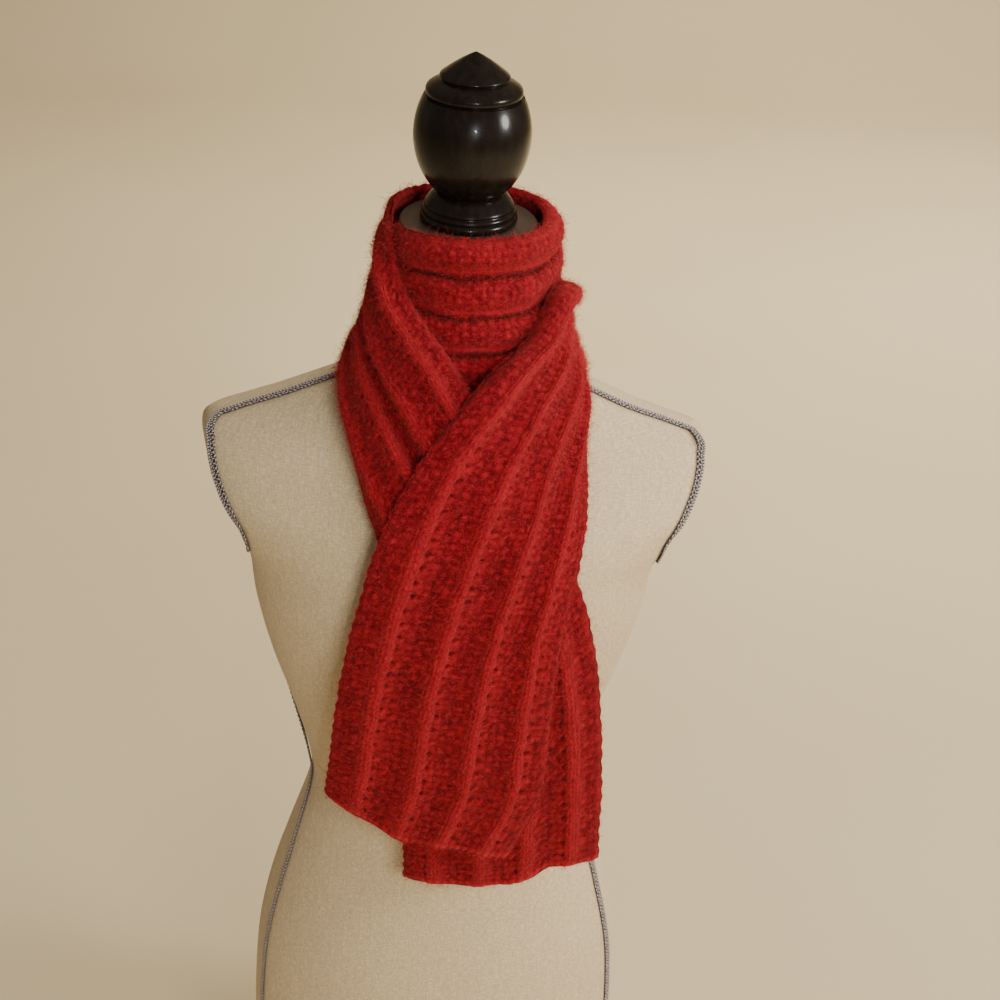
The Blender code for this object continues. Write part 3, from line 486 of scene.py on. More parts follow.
def grid_faces(rows, columns, start=0, closed=False):
    """Quads over a grid of points that are stored row by row, whose rows may close into rings."""
    corner = start + np.arange(rows * columns).reshape(rows, columns)
    if closed:
        corner = np.append(corner, corner[:, :1], axis=1)
    parts = (corner[:-1, :-1], corner[:-1, 1:], corner[1:, 1:], corner[1:, :-1])
    return np.stack(parts, 2).reshape(-1, 4).tolist()


def travelled(points, axis=0):
    """How far along a path, or along each path of a grid, every point is."""
    steps = np.linalg.norm(np.diff(points, axis=axis), axis=-1)
    return np.insert(np.cumsum(steps, axis=axis), 0, 0.0, axis=axis)


def read_at(wanted, places, table):
    """The table's columns read at the wanted places."""
    return np.stack([np.interp(wanted, places, column) for column in table.T], 1)


def unit(vectors):
    return vectors / np.linalg.norm(vectors, axis=-1, keepdims=True)


def smooth_step(values):
    values = np.clip(values, 0, 1)
    return values * values * (3 - 2 * values)


def place_piece(piece, slot, *nodes):
    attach(piece, "root")
    if nodes:
        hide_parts(*nodes)


# The form's shape


def smooth_row(table, place):
    """A row of the table at a place from 0 to its last index, on a Catmull-Rom curve through the rows."""
    rows = np.asarray(table, float)
    last = len(rows) - 1
    start = min(int(place), last - 1)
    part = place - start
    before = rows[start - 1] if start > 0 else 2 * rows[0] - rows[1]
    after = rows[start + 2] if start + 2 <= last else 2 * rows[last] - rows[last - 1]
    here, there = rows[start], rows[start + 1]
    return (
        here
        + 0.5 * part * (there - before)
        + part**2 * (before - 2.5 * here + 2 * there - 0.5 * after)
        + part**3 * (-0.5 * before + 1.5 * here - 1.5 * there + 0.5 * after)
    )


def crossing(test, high, steps):
    """The highest place from 0 to high at which the test still holds."""
    low = 0.0
    for _ in range(steps):
        middle = (low + high) / 2
        low, high = (middle, high) if test(middle) else (low, middle)
    return low


@lru_cache(maxsize=None)
def form_section(drop):
    """Half width, front depth, back depth and squareness of the form at a drop."""
    drops = [row[0] for row in FORM_SECTIONS]
    upper = max(index for index in range(len(drops) - 1) if drops[index] <= drop + 1e-9)
    low = crossing(lambda part: smooth_row(FORM_SECTIONS, upper + part)[0] < drop, 1.0, 30)
    return tuple(smooth_row(FORM_SECTIONS, upper + low)[1:])


def uncut_point(drop, degrees):
    """A point on the form as it would be without armholes, and how wide the armhole leaves it there."""
    half_width, front, back, squareness = form_section(drop)
    turn = math.radians(degrees)
    across, along = math.sin(turn), -math.cos(turn)
    hole = (drop - ARMHOLE_TOP) / (ARMHOLE_BOTTOM - ARMHOLE_TOP)
    reach = ARMHOLE_CUT * math.sqrt(max(0.0, 1 - (2 * hole - 1) ** 2))
    x = half_width * (1 + reach) * math.copysign(abs(across) ** (2 / squareness), across)
    depth = front if along < 0 else back
    y = depth * math.copysign(abs(along) ** (2 / squareness), along)
    return x, y, half_width + ARMHOLE_TILT * y * reach / ARMHOLE_CUT


@lru_cache(maxsize=None)
def rim_angle(drop, behind):
    """The angle from the front, or from the back, at which a section meets the armhole's rim."""

    def inside(degrees):
        x, _, limit = uncut_point(drop, 180 - degrees if behind else degrees)
        return x < limit

    return min(crossing(inside, 90.0, 24), LAST_RIM)


def ramp(value, start, end):
    """0 before start, 1 after end, and smooth between."""
    share = min(max((value - start) / (end - start), 0.0), 1.0)
    return share * share * (3 - 2 * share)


def form_point(drop, degrees):
    """A point on the form. The sides are cut flat at the armholes."""
    x, y, limit = uncut_point(drop, degrees)
    x = min(max(x, -limit), limit)
    upper = min(max((NECK_LEVEL - drop) / (NECK_LEVEL - PLATE_SEAT), 0.0), 1.0)
    fall = SHOULDER_FALL * ramp(x, 0.03, 0.17) * ramp(drop, 0.095, 0.12) * (1 - ramp(drop, 0.19, 0.34))
    z = PLATE_Z - drop + y * math.tan(NECK_LEAN) * upper - fall
    return Vector((x + FORM_SHIFT * ramp(drop, 0.09, 0.15), y, z))


def column_angle(drop, column):
    """The angle of one of the form's columns, counted from the front. One follows the armhole's rim."""
    quarter, place = divmod(column, QUARTER)
    from_middle = QUARTER - place if quarter % 2 else place
    plain = 90 * ARMHOLE_COLUMN / QUARTER
    away = max(ARMHOLE_TOP - drop, drop - ARMHOLE_BOTTOM, 0.0)
    near = max(0.0, 1 - away / ARMHOLE_FADE)
    rim = plain + (rim_angle(drop, quarter in (1, 2)) - plain) * near
    angle = float(np.interp(from_middle, (0, ARMHOLE_COLUMN, QUARTER), (0, rim, 90)))
    return 90 * (quarter + 1) - angle if quarter % 2 else 90 * quarter + angle


# The stand, the form and its trim


def lathe(name, profile, finish, height, lean=0.0):
    """A solid turned from (radius, z) points that run from the axis to the axis. It leans to the front."""
    rings = [(radius, z) for radius, z in profile if radius > 0]
    turns = np.linspace(0, math.tau, LATHE_STEPS, endpoint=False)
    points = [(radius * math.cos(turn), radius * math.sin(turn), z) for radius, z in rings for turn in turns]
    points += [(0.0, 0.0, profile[0][1]), (0.0, 0.0, profile[-1][1])]
    place = Matrix.Translation((0.0, 0.0, height)) @ Matrix.Rotation(lean, 4, "X")
    points = [tuple(place @ Vector(point)) for point in points]
    faces = grid_faces(len(rings), LATHE_STEPS, closed=True)
    last = (len(rings) - 1) * LATHE_STEPS
    for column in range(LATHE_STEPS):
        after = (column + 1) % LATHE_STEPS
        faces += [(len(points) - 2, after, column), (last + column, last + after, len(points) - 1)]
    return add_object(name, points, faces, finish, LATHE_SHARP)


def bezel(profile, amount=0.0006):
    """The profile with each corner cut back on both sides, so that edges catch the light."""
    made = [profile[0]]
    for before, here, after in zip(profile, profile[1:], profile[2:]):
        for other in (before, after):
            length = math.dist(here, other)
            share = min(amount / length, 0.3)
            made.append(tuple(h + (o - h) * share for h, o in zip(here, other)))
    return made + [profile[-1]]


def finial_profile(foot_height):
    ball = []
    for z in np.linspace(*BALL_ENDS, BALL_STEPS):
        ball.append((BALL_RADIUS * math.sqrt(1 - (z / BALL_HALF_HEIGHT) ** 2), BALL_Z + z))
    foot, cap = bezel(FINIAL_FOOT, FINIAL_BEZEL), bezel(FINIAL_CAP, FINIAL_BEZEL)
    return [(radius, z + foot_height) for radius, z in foot + ball + cap]


def base_profile():
    edge, rise = BASE_TOP * 0.35, BASE_TOP * 0.55
    profile = [(0.0, 0.0), (BASE_RADIUS - 0.002, 0.0), (BASE_RADIUS, 0.002), (BASE_RADIUS, edge)]
    for turn in np.linspace(0, math.pi / 2, 25)[1:]:
        profile.append((BASE_RADIUS - BASE_ROUND * (1 - math.cos(turn)), edge + rise * math.sin(turn)))
    return profile + [(0.055, BASE_TOP * 0.92), (0.04, BASE_TOP), (0.0, BASE_TOP)]


def build_hard_pieces():
    wood, cap = wood_finish(), plate_finish()
    seat = PLATE_Z - PLATE_SEAT
    rim = ((0.0, 0.0), (PLATE_RADIUS, 0.0), (PLATE_RADIUS, PLATE_HEIGHT), (0.0, PLATE_HEIGHT))
    place_piece(lathe("neck_cap", bezel(rim, PLATE_BEZEL), cap, seat, NECK_LEAN), "plate", "neck_plate")
    profile = finial_profile(PLATE_HEIGHT + SEAM)
    place_piece(lathe("finial_turned", profile, wood, seat, NECK_LEAN), "dark_wood", "finial")
    place_piece(lathe("base_turned", base_profile(), wood, 0.0), "dark_wood", "base")
    low, high = (corner.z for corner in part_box("post"))
    profile = bezel([*POST, (POST[-1][0], high - low), (0.0, high - low)])
    place_piece(lathe("post_turned", profile, wood, low), "dark_wood", "post")


def build_form():
    """The form's linen skin, smooth through the sections that the solid is made of."""
    drops = [FORM_SECTIONS[0][0]]
    for low, high in zip(FORM_SECTIONS, FORM_SECTIONS[1:]):
        count = max(2, math.ceil((high[0] - low[0]) / FORM_STEP))
        drops += list(np.linspace(low[0], high[0], count + 1)[1:])
    rows, columns = len(drops), 4 * QUARTER * FORM_SPLIT
    across = [column / FORM_SPLIT for column in range(columns)]
    grid = np.array([[form_point(drop, column_angle(drop, column)) for column in across] for drop in drops])
    near = beside(np.array(drops[1:-1]), CHEST_EASED, CHEST_REACH)[:, None, None]
    for _ in range(CHEST_STEPS):
        grid[1:-1] += 0.25 * near * (grid[:-2] + grid[2:] - 2 * grid[1:-1])
    around = travelled(np.concatenate([grid, grid[:, :1]], axis=1), 1)
    around -= np.where(np.arange(columns + 1) > columns / 2, around[:, -1:], 0)
    turned = [0, 3, 2, 1]
    faces = np.array(grid_faces(rows, columns, closed=True))[:, turned].tolist()
    corners = np.array(grid_faces(rows, columns + 1))[:, turned].ravel()
    top = list(range(columns))
    bottom = list(range((rows - 1) * columns, rows * columns))[::-1]
    flat = grid.reshape(-1, 3)
    cloth = np.stack([around.ravel(), np.repeat(drops, columns + 1)], 1)[corners]
    cloth = np.concatenate([cloth, flat[top + bottom, :2]])
    form = add_object("form_linen", flat, [*faces, top, bottom], linen_finish(), FORM_SHARP)
    layer = form.data.uv_layers.new(name="cloth")
    layer.data.foreach_set("uv", cloth.astype(np.float32).ravel())
    place_piece(form, "linen", "torso")


def braid_middles(side):
    """Points evenly down the middle of the trim, each with a direction out of the form."""
    middles, outward = [], []
    for drop in np.linspace(BRAID_TOP, BRAID_BOTTOM, BRAID_STEPS):
        column = float(np.interp(drop, *zip(*BRAID_COLUMNS)))
        column -= float(np.interp(drop, *zip(*BRAID_FORWARD[side])))
        middle, left, right, upper, lower = (
            form_point(drop + down, side * column_angle(drop + down, column + aside))
            for down, aside in ((0, 0), (0, -0.5), (0, 0.5), (-NEAR, 0), (NEAR, 0))
        )
        middles.append(middle)
        outward.append(side * (lower - upper).cross(right - left).normalized())
    middles, outward = np.array(middles), np.array(outward)
    along = travelled(middles)
    wanted = np.linspace(0, along[-1], int(along[-1] / BRAID_PITCH) * BRAID_SAMPLES + 1)
    return [read_at(wanted, along, grid) for grid in (middles, outward)]


def tube_faces(rings, sides):
    """Quads round a tube whose rings of points are stored one after another, and its two ends."""
    last = (rings - 1) * sides
    return [*grid_faces(rings, sides, closed=True), list(range(sides))[::-1], list(range(last, last + sides))]


def cord(path, radius, facing):
    """Points and faces of a round cord along a path, and how many turns of it lie before each point."""
    along = unit(np.gradient(path, axis=0))
    side = unit(np.cross(along, facing))
    up = np.cross(side, along)
    turns = (np.arange(CORD_SIDES) * math.tau / CORD_SIDES)[:, None]
    rings = path[:, None] + radius * (side[:, None] * np.cos(turns) + up[:, None] * np.sin(turns))
    twist = travelled(path)[:, None] / CORD_TWIST + np.arange(CORD_SIDES) / CORD_SIDES
    return rings.reshape(-1, 3), tube_faces(len(path), CORD_SIDES), twist.ravel()


def build_braid(side):
    """The looped trim: two pale cords that cross to leave round eyes, and a twisted one beside them,
    on a narrow dark tape."""
    middles, outward = braid_middles(side)
    sideways = unit(side * np.cross(outward, np.gradient(middles, axis=0)))
    sideways *= np.interp(PLATE_Z - middles[:, 2], *zip(*BRAID_SHARES[side]))[:, None]
    phase = math.pi * np.arange(len(middles)) / BRAID_SAMPLES
    swing = np.sin(phase)
    swing = BRAID_LOOP * (np.sign(swing) * abs(swing) ** 0.75)[:, None]
    over = CROSSING_LIFT * np.cos(phase)[:, None]
    ground = middles + outward * BRAID_SEAT
    lanes = ((BRAID_EYES + swing, over), (BRAID_EYES - swing, -over), (BRAID_EDGE, 0.0))
    points, faces, twists = [], [], []
    for (aside, above), lift, radius in zip(lanes, CORD_LIFT, CORD_RADII):
        lane = ground + sideways * aside + outward * (lift + above)
        rings, quads, twist = cord(lane, radius, outward)
        faces += [[corner + len(points) for corner in face] for face in quads]
        points += rings.tolist()
        twists += twist.tolist()
    cords = add_object("braid_cords_" + SIDE[side], points, faces, cord_finish(*BRAID_COLOUR_AND_GROOVE_SHADE))
    add_attribute(cords, "twist", twists)
    thin = slice(None, None, BRAID_SAMPLES // 2)
    near, far = (ground[thin] + sideways[thin] * edge for edge in BRAID_TAPE)
    thick = outward[thin] * TAPE_THICKNESS
    corners = np.stack([near, far, far + thick, near + thick], 1)
    strip = [face[::side] for face in tube_faces(len(corners), 4)]
    finish = Finish("gimp_tape", (0.07, 0.058, 0.06), 0.9)
    finish.bump(finish.noise(finish.object_place(), 900.0), 0.0003)
    tape = add_object("braid_tape_" + SIDE[side], corners.reshape(-1, 3), strip, finish.material)
    for piece in (cords, tape):
        place_piece(piece, "braid", "braid_" + SIDE[side])


# Laying cloth on what is below it


def search_tree(shapes):
    """The shapes' faces as triangles, each split from its first corner, for rays to be cast at."""
    points, fans = [], []
    for corners, faces in shapes:
        start = len(points)
        points += list(corners)
        for face in faces:
            first, *rest = (start + corner for corner in face)
            fans += [(first, one, other) for one, other in zip(rest, rest[1:])]
    return BVHTree.FromPolygons(points, fans, all_triangles=True)


def needed_lift(points, outward, tree, gap):
    """How far each point moves outward to lie a gap above what is below it."""
    lift = np.zeros(points.shape[:2])
    for index in np.ndindex(*lift.shape):
        start = Vector(points[index] + outward[index] * REACH)
        distance = tree.ray_cast(start, Vector(-outward[index]), REACH + gap)[3]
        if distance is not None:
            lift[index] = REACH - distance + gap
    return lift


def refined(grid):
    """The grid with SPLITS - 1 more points between each two neighbours, both ways."""
    for axis in (0, 1):
        ahead = np.moveaxis(grid, axis, 0)
        steps = [ahead[:-1] + (ahead[1:] - ahead[:-1]) * step / SPLITS for step in range(SPLITS)]
        between = np.stack(steps, 1).reshape(-1, *ahead.shape[1:])
        grid = np.moveaxis(np.concatenate([between, ahead[-1:]]), 0, axis)
    return grid


def settled(points, outward, below, gap, held):
    """The lift that lays a grid on the shapes below it, smooth, with the rows in held kept."""
    fine = needed_lift(refined(points), refined(outward), search_tree(below), gap)
    padded = np.pad(fine, SPLITS - 1)
    rows, columns = fine.shape
    window = range(2 * SPLITS - 1)
    widest = np.max([padded[row : row + rows] for row in window], axis=0)
    widest = np.max([widest[:, column : column + columns] for column in window], axis=0)
    needed = widest[::SPLITS, ::SPLITS]
    lift = needed.copy()
    for _ in range(SETTLE_STEPS):
        lift = np.maximum(needed, blurred(lift))
        for row, values in held.items():
            lift[row] = values
    return lift


# The scarf


def columns_across():
    """Places across the width that the solid has: both edges, four at each rib, one in each panel."""
    places = {0.0, 1.0} | {(left + right) / 2 for left, right in zip(RIBS, RIBS[1:])}
    for rib in RIBS:
        places |= {rib + side * RIB_WIDTH / share for side in (-1, 1) for share in (2, 5)}
    return np.array(sorted(places))


def stitch_columns():
    """Places across the width for the knit, counted from 0 to 1 and in stitches: closer at the ribs."""
    stitches = {count / PANEL_SAMPLES for count in range(STITCHES * PANEL_SAMPLES + 1)}
    for middle in RIB_STITCHES:
        low, high = middle + RIB_REACH[0], middle + RIB_REACH[1]
        stitches = {place for place in stitches if not low < place < high}
        stitches |= set(np.linspace(low, high, RIB_SAMPLES + 1).round(6))
    for inset in EDGE_SAMPLES:
        stitches |= {inset, STITCHES - inset}
    stitches = np.array(sorted(stitches))
    return np.interp(stitches, (0, *RIB_STITCHES, STITCHES), (0, *RIBS, 1)), stitches


def ring_rows(table):
    """Rows round the neck in the tails' columns, with the tier last."""
    rows = []
    for degrees, top_radius, top_drop, low_radius, low_drop, crown, pleat, tier in table:
        turn = math.radians(degrees)
        across, along = math.sin(turn), -math.cos(turn)
        top = (top_radius * across, top_radius * along, top_drop)
        low = (low_radius * across, low_radius * along, low_drop)
        rows.append((*top, *low, crown, 0.0, pleat, 0.0, 0.0, tier))
    return rows


def stretch_tables():
    """The scarf's stretches in order from the front hem to the rear hem."""
    ring = ring_rows(ROUND_NECK)
    return {
        "tail_over": [(*row, 0.0, gather, 0.0) for *row, gather in TAIL_OVER[::-1]],
        "back_wrap": ring[: BAND_START + 1],
        "neck_band": ring[BAND_START : BAND_END + 1],
        "tail_under": ring[BAND_END:] + [(*row, 0.0, 0.0) for row in TAIL_UNDER],
    }


def even_rows(table, count):
    """The table's rows read at places that are evenly spaced along the middle of the stretch."""
    fine = np.array([smooth_row(table, place) for place in np.linspace(0, len(table) - 1, 400)])
    along = travelled((fine[:, 0:3] + fine[:, 3:6]) / 2)
    return read_at(np.linspace(0, along[-1], count), along, fine)


def stretch_length(table):
    rows = even_rows(table, 200)
    return float(travelled((rows[:, 0:3] + rows[:, 3:6]) / 2)[-1])


def whole_sheet(places, counts):
    """The scarf in one grid from hem to hem before it settles: points, directions outward, relief
    of the outer face, the first and last row of each stretch, and how far each row belongs to the
    band round the neck, where the panels bulge into tiers. Stretches share their end rows."""
    spans, rows, droop = {}, [], []
    for name, table in stretch_tables().items():
        first = max(len(rows) - 1, 0)
        rows += list(even_rows(table, counts[name]))[1 if rows else 0 :]
        spans[name] = (first, len(rows) - 1)
        hem = np.interp(places, *zip(*HEMS.get(name, ((0.0, 0.0), (1.0, 0.0)))))
        droop += [hem] * (len(rows) - len(droop))
    rows = np.array(rows)
    near, far = rows[:, None, 0:3], rows[:, None, 3:6]
    crown, hem, pleat, fold, gather, tier = (rows[:, None, column] for column in range(6, 12))
    arch = np.clip(np.sin(math.pi * places), 0, 1)
    creep = BAND_CREEP * np.clip(tier / CREEP_TIER, 0, 1)
    share = places + creep * np.sqrt(arch) + gather * arch**1.5
    points = near + (far - near) * share[:, :, None]
    points[:, :, 2] = PLATE_Z - points[:, :, 2] - hem * np.array(droop)
    turn = math.radians(SCARF_TURN)
    x, y = points[:, :, 0].copy(), points[:, :, 1].copy()
    points[:, :, 0] = x * math.cos(turn) - y * math.sin(turn)
    points[:, :, 1] = x * math.sin(turn) + y * math.cos(turn)
    outward = grid_normals(points)
    trough = 1 - np.exp(-(((places - 0.5) / FOLD_WIDTH) ** 2))
    lift = crown * arch + fold * trough * np.sqrt(arch)
    distance = np.min([abs(places - centre) for centre in RIBS], axis=0)
    rib = np.cos(math.pi * np.clip(distance / RIB_WIDTH, 0, 0.5))
    panel = np.interp(places, (0.0, *RIBS, 1.0), range(len(RIBS) + 2)) % 1
    relief = pleat * rib + tier * np.sin(math.pi * panel**1.3)
    return points + outward * lift[:, :, None], outward, relief, spans, np.clip(tier / BAND_TIER, 0, 1)


def grid_normals(points):
    """Directions out of the cloth's face over a grid of points along and across it."""
    along = np.gradient(points, axis=0)
    across = np.gradient(points, axis=1)
    return unit(np.cross(across, along))


def blurred(values):
    padded = np.pad(values, 1, mode="edge")
    rows = (padded[:-2] + 2 * padded[1:-1] + padded[2:]) / 4
    return (rows[:, :-2] + 2 * rows[:, 1:-1] + rows[:, 2:]) / 4


def plain_wall(inner, relief, places):
    """Points and faces of a stretch's wall as the solid has it, for what lies on it."""
    edge = np.minimum(places, 1 - places)
    thickness = WALL * (EDGE_SHARE + (1 - EDGE_SHARE) * np.clip(edge / EDGE_WIDTH, 0, 1))
    outer = inner + grid_normals(inner) * (thickness + relief)[:, :, None]
    rows, columns = outer.shape[:2]
    return outer.reshape(-1, 3).tolist(), grid_faces(rows, columns)


def settled_lift(places):
    """How far every point of the solid's own grid moves out to lie on what is below it."""
    base, outward, relief, spans, _ = whole_sheet(places, ROWS)
    lift = np.zeros(base.shape[:2])
    shapes = []
    for node in ("torso", "neck_plate", "braid_left", "braid_right"):
        mesh = NODES[node].data
        points = [vertex.co.copy() for vertex in mesh.vertices]
        shapes.append((points, [tuple(face.vertices) for face in mesh.polygons]))
    done = set()
    for name in LAYERS:
        first, last = spans[name]
        rows = slice(first, last + 1)
        held = {row - first: lift[row].copy() for row in (first, last) if row in done}
        lift[rows] = settled(base[rows], outward[rows], shapes, REST_GAP, held)
        done |= {first, last}
        laid = base[rows] + outward[rows] * lift[rows][:, :, None]
        shapes.append(plain_wall(laid, relief[rows], places))
    return lift, spans


def finer(lift, spans, places, fine_places, fine_spans, rows):
    """The lift read at the finer grid's places."""
    across = np.array([np.interp(fine_places, places, row) for row in lift])
    made = np.zeros((rows, len(fine_places)))
    for name, (first, last) in spans.items():
        start, end = fine_spans[name]
        where = np.linspace(first, last, end - start + 1)
        low = np.minimum(where.astype(int), last - 1)
        part = (where - low)[:, None]
        made[start : end + 1] = across[low] * (1 - part) + across[low + 1] * part
    return made


def wandering(rng, rows, columns):
    """Smooth random values from -1 to 1 over a grid."""
    down, over = np.arange(rows) / DRIFT_SPACING, np.arange(columns) / DRIFT_SPACING
    coarse = rng.uniform(-1, 1, (int(rows / DRIFT_SPACING) + 3, int(columns / DRIFT_SPACING) + 3))
    low, left = down.astype(int), over.astype(int)
    part, share = smooth_step(down - low)[:, None], smooth_step(over - left)
    across = coarse[:, left] * (1 - share) + coarse[:, left + 1] * share
    return across[low] * (1 - part) + across[low + 1] * part


def vee(across, along):
    """Height of one knit stitch: two legs that lean apart, overlapping the stitches above and below."""
    height = np.zeros(np.broadcast(across, along).shape)
    for shift in (-1, 0, 1):
        place = along - shift
        leg = 0.08 + 0.27 * place
        ridge = np.exp(-(((abs(across - 0.5) - leg) / 0.15) ** 2))
        window = np.cos(math.pi * np.clip((place - 0.5) / 1.5, -0.5, 0.5)) ** 2
        height = np.maximum(height, ridge * window)
    return height


def beside(values, middle, width):
    return np.exp(-(((values - middle) / width) ** 2))


def knit_relief(rng, stitches, rows, tiers):
    """Height in metres of the stitches, and their colour with painted shade and highlight, over places
    counted in stitches across and rows along: darker in the hollows and eyelets, lighter on the tops, the
    ribs and the cast-on edge.
    """
    shape = (len(rows), len(stitches))
    across = stitches[None, :] + STITCH_DRIFT[0] * wandering(rng, *shape)
    along = rows[:, None] + STITCH_DRIFT[1] * wandering(rng, *shape)
    column = np.clip(np.floor(across), 0, STITCHES - 1).astype(int)
    row = np.clip(np.floor(along), 0, rows[-1]).astype(int)
    chances = rng.uniform(-1, 1, (4, int(rows[-1]) + 1, STITCHES))
    aside, ahead, size, shade = (table[row, column] for table in chances)
    u, v = across - column, along - np.floor(along)
    middles = np.array(RIB_STITCHES)
    nearest = middles[np.abs(across[:, :, None] - middles - 0.3).argmin(2)]
    off = across - nearest
    wave = np.cos(math.tau * (off - 0.2) / RIB_PITCH)
    high = beside(u, 0.5 + 0.18 * aside, 0.52) * beside(v, 0.5 + 0.16 * ahead - 0.7 * (u - 0.5) ** 2, 0.4)
    low = beside(u, 0.5 + 0.18 * aside, 0.46) * beside(v, 0.5 + 0.2 * ahead, 0.44)
    seed = np.where((column + row) % 2 == 0, high * (0.92 + 0.2 * size), low * (0.66 + 0.2 * size))
    legs = 0.2 + 0.9 * vee(u, v) * (1 + 0.2 * size)
    legs -= 0.6 * beside(off, -0.5, 0.13) * (0.7 - 0.3 * np.cos(math.tau * v)) * (1 - tiers)
    in_rib = smooth_step(1.75 - abs(off - 0.1) * 1.5)
    in_band = beside(off, 0.25, 0.42)
    ribs = legs * (1 - tiers) + (0.35 + 0.55 * in_band) * tiers
    height = PURL_RELIEF * (seed * (1 - in_rib) + 0.75 * ribs * in_rib)
    every = (along + nearest) / 2
    beat = (every - np.round(every)) * 2
    height -= EYELET_DEPTH * beside(off, 1.15, 0.24) * beside(beat, 0, 0.38) * (1 - tiers) * (1 + 0.4 * size)
    height -= BAND_GROOVE * beside(off, 1.05, 0.4) * tiers
    from_edge = np.minimum(stitches, STITCHES - stitches)[None, :]
    chain = beside(from_edge, 0.55, 0.36) * (0.7 + 0.3 * np.cos(math.pi * along))
    height = height * np.clip(from_edge - 0.35, 0.15, 1) + EDGE_ROLL * chain
    to_hem = np.minimum(along, rows[-1] - along)
    cast = beside(to_hem, 0.5, 0.42) * (0.72 - 0.28 * np.cos(math.tau * across))
    height = height * (1 - 0.8 * beside(to_hem, 0, 1.0)) + HEM_ROLL * cast
    # Painted shade and highlight: the colour follows the height, so the hollows and eyelets are painted
    # darker, the stitch tops lighter and the raised cast-on edge lighter. The random shade per stitch is the
    # yarn's own.
    tone_and_painted_shade = 0.25 + height / PAINTED_SHADE_HEIGHT + 0.07 * shade * (1 - in_rib) + 0.22 * cast
    # The ribs are painted lighter, as a painted highlight on their raised faces, and the band lighter by its
    # ribs.
    tone_and_painted_shade += (0.095 * wave + 0.05 * in_rib) * (1 - tiers) + 0.06 * in_band * tiers
    return height + RIB_RISE * wave * (1 - tiers) - STITCH_SINK, np.clip(tone_and_painted_shade, 0, 1)


def rounded_edge(stitches):
    """Share of the wall's thickness at each place across, falling off round at both edges."""
    from_edge = np.minimum(stitches, STITCHES - stitches)
    thin = EDGE_SHARE + (1 - EDGE_SHARE) * np.clip(from_edge / (EDGE_WIDTH * STITCHES), 0, 1)
    return thin * np.sqrt(1 - (1 - np.clip(from_edge / 0.5, 0.02, 1)) ** 2 * 0.9)


def rolled(inner, thickness):
    """Offsets of the outer and the inner face where the near edge rolls in round the neck."""
    down = travelled(inner, 1) / ROLL_HEIGHT
    reach = np.clip(np.hypot(inner[:, 0, 0], inner[:, 0, 1]) - ROLL_RADIUS, 0, ROLL_REACH)
    reach = (reach * smooth_step((inner[:, 0, 2] - PLATE_Z) / ROLL_FADE + 1))[:, None]
    bulge = np.sqrt(1 - np.clip(1 - down, -1, 1) ** 2)
    middle, half = (thickness - reach) / 2, (thickness + reach) / 2
    outer = np.where(down < 1, middle + half * bulge, thickness)
    inward = np.where(down < 2, middle - half * bulge, np.minimum(middle, 0) * np.clip(3 - down, 0, 1))
    blend = np.clip(4 * reach / ROLL_REACH, 0, 1)
    return outer * blend + thickness * (1 - blend), np.minimum(inward, 0) * blend


def sewn_rim(outer_ring, picks, back):
    """Triangles between an outer row of points and an inner one, which lie behind the picked ones."""
    faces = []
    for index in range(len(picks) - 1):
        fan = outer_ring[picks[index] : picks[index + 1] + 1]
        for one, other in zip(fan, fan[1:]):
            faces.append((back[index], one, other))
        faces.append((back[index], fan[-1], back[index + 1]))
    return faces


def stretch_mesh(name, faces_of, picks, finish):
    """A closed wall from the points, directions and tones with painted shade of its outer and its inner face.
    """
    (outer, outer_normals, outer_tone_and_shade), inside = faces_of
    down, over = picks
    inner, inner_normals, inner_tone_and_shade = (grid[down][:, over] for grid in inside)
    rows, columns = outer.shape[:2]
    start = rows * columns
    faces = grid_faces(rows, columns)
    faces += [tuple(reversed(face)) for face in grid_faces(len(down), len(over), start)]
    corner = np.arange(start).reshape(rows, columns)
    back = start + np.arange(len(down) * len(over)).reshape(len(down), len(over))
    sides = (
        (corner[0], over, back[0], False),
        (corner[-1], over, back[-1], True),
        (corner[:, 0], down, back[:, 0], True),
        (corner[:, -1], down, back[:, -1], False),
    )
    for ring, steps, behind, turned in sides:
        rim = sewn_rim(ring.tolist(), steps, behind.tolist())
        faces += [face[::-1] for face in rim] if turned else rim
    points = np.concatenate([outer.reshape(-1, 3), inner.reshape(-1, 3)])
    piece = add_object(name, points, faces, finish)
    facing = np.concatenate([outer_normals.reshape(-1, 3), inner_normals.reshape(-1, 3)])
    piece.data.normals_split_custom_set_from_vertices(facing.tolist())
    # The relief attribute carries the colour with painted shade in the hollows and painted highlight on the
    # tops.
    add_attribute(piece, "relief", np.concatenate([outer_tone_and_shade.ravel(), inner_tone_and_shade.ravel()]))
    return piece


def picked(count, fine):
    """Which of a count of points the inner face keeps: all of the fine ones, then one of every few."""
    kept = set(range(min(fine, count))) | set(range(0, count, INNER_STEP)) | {count - 1}
    return sorted(kept)


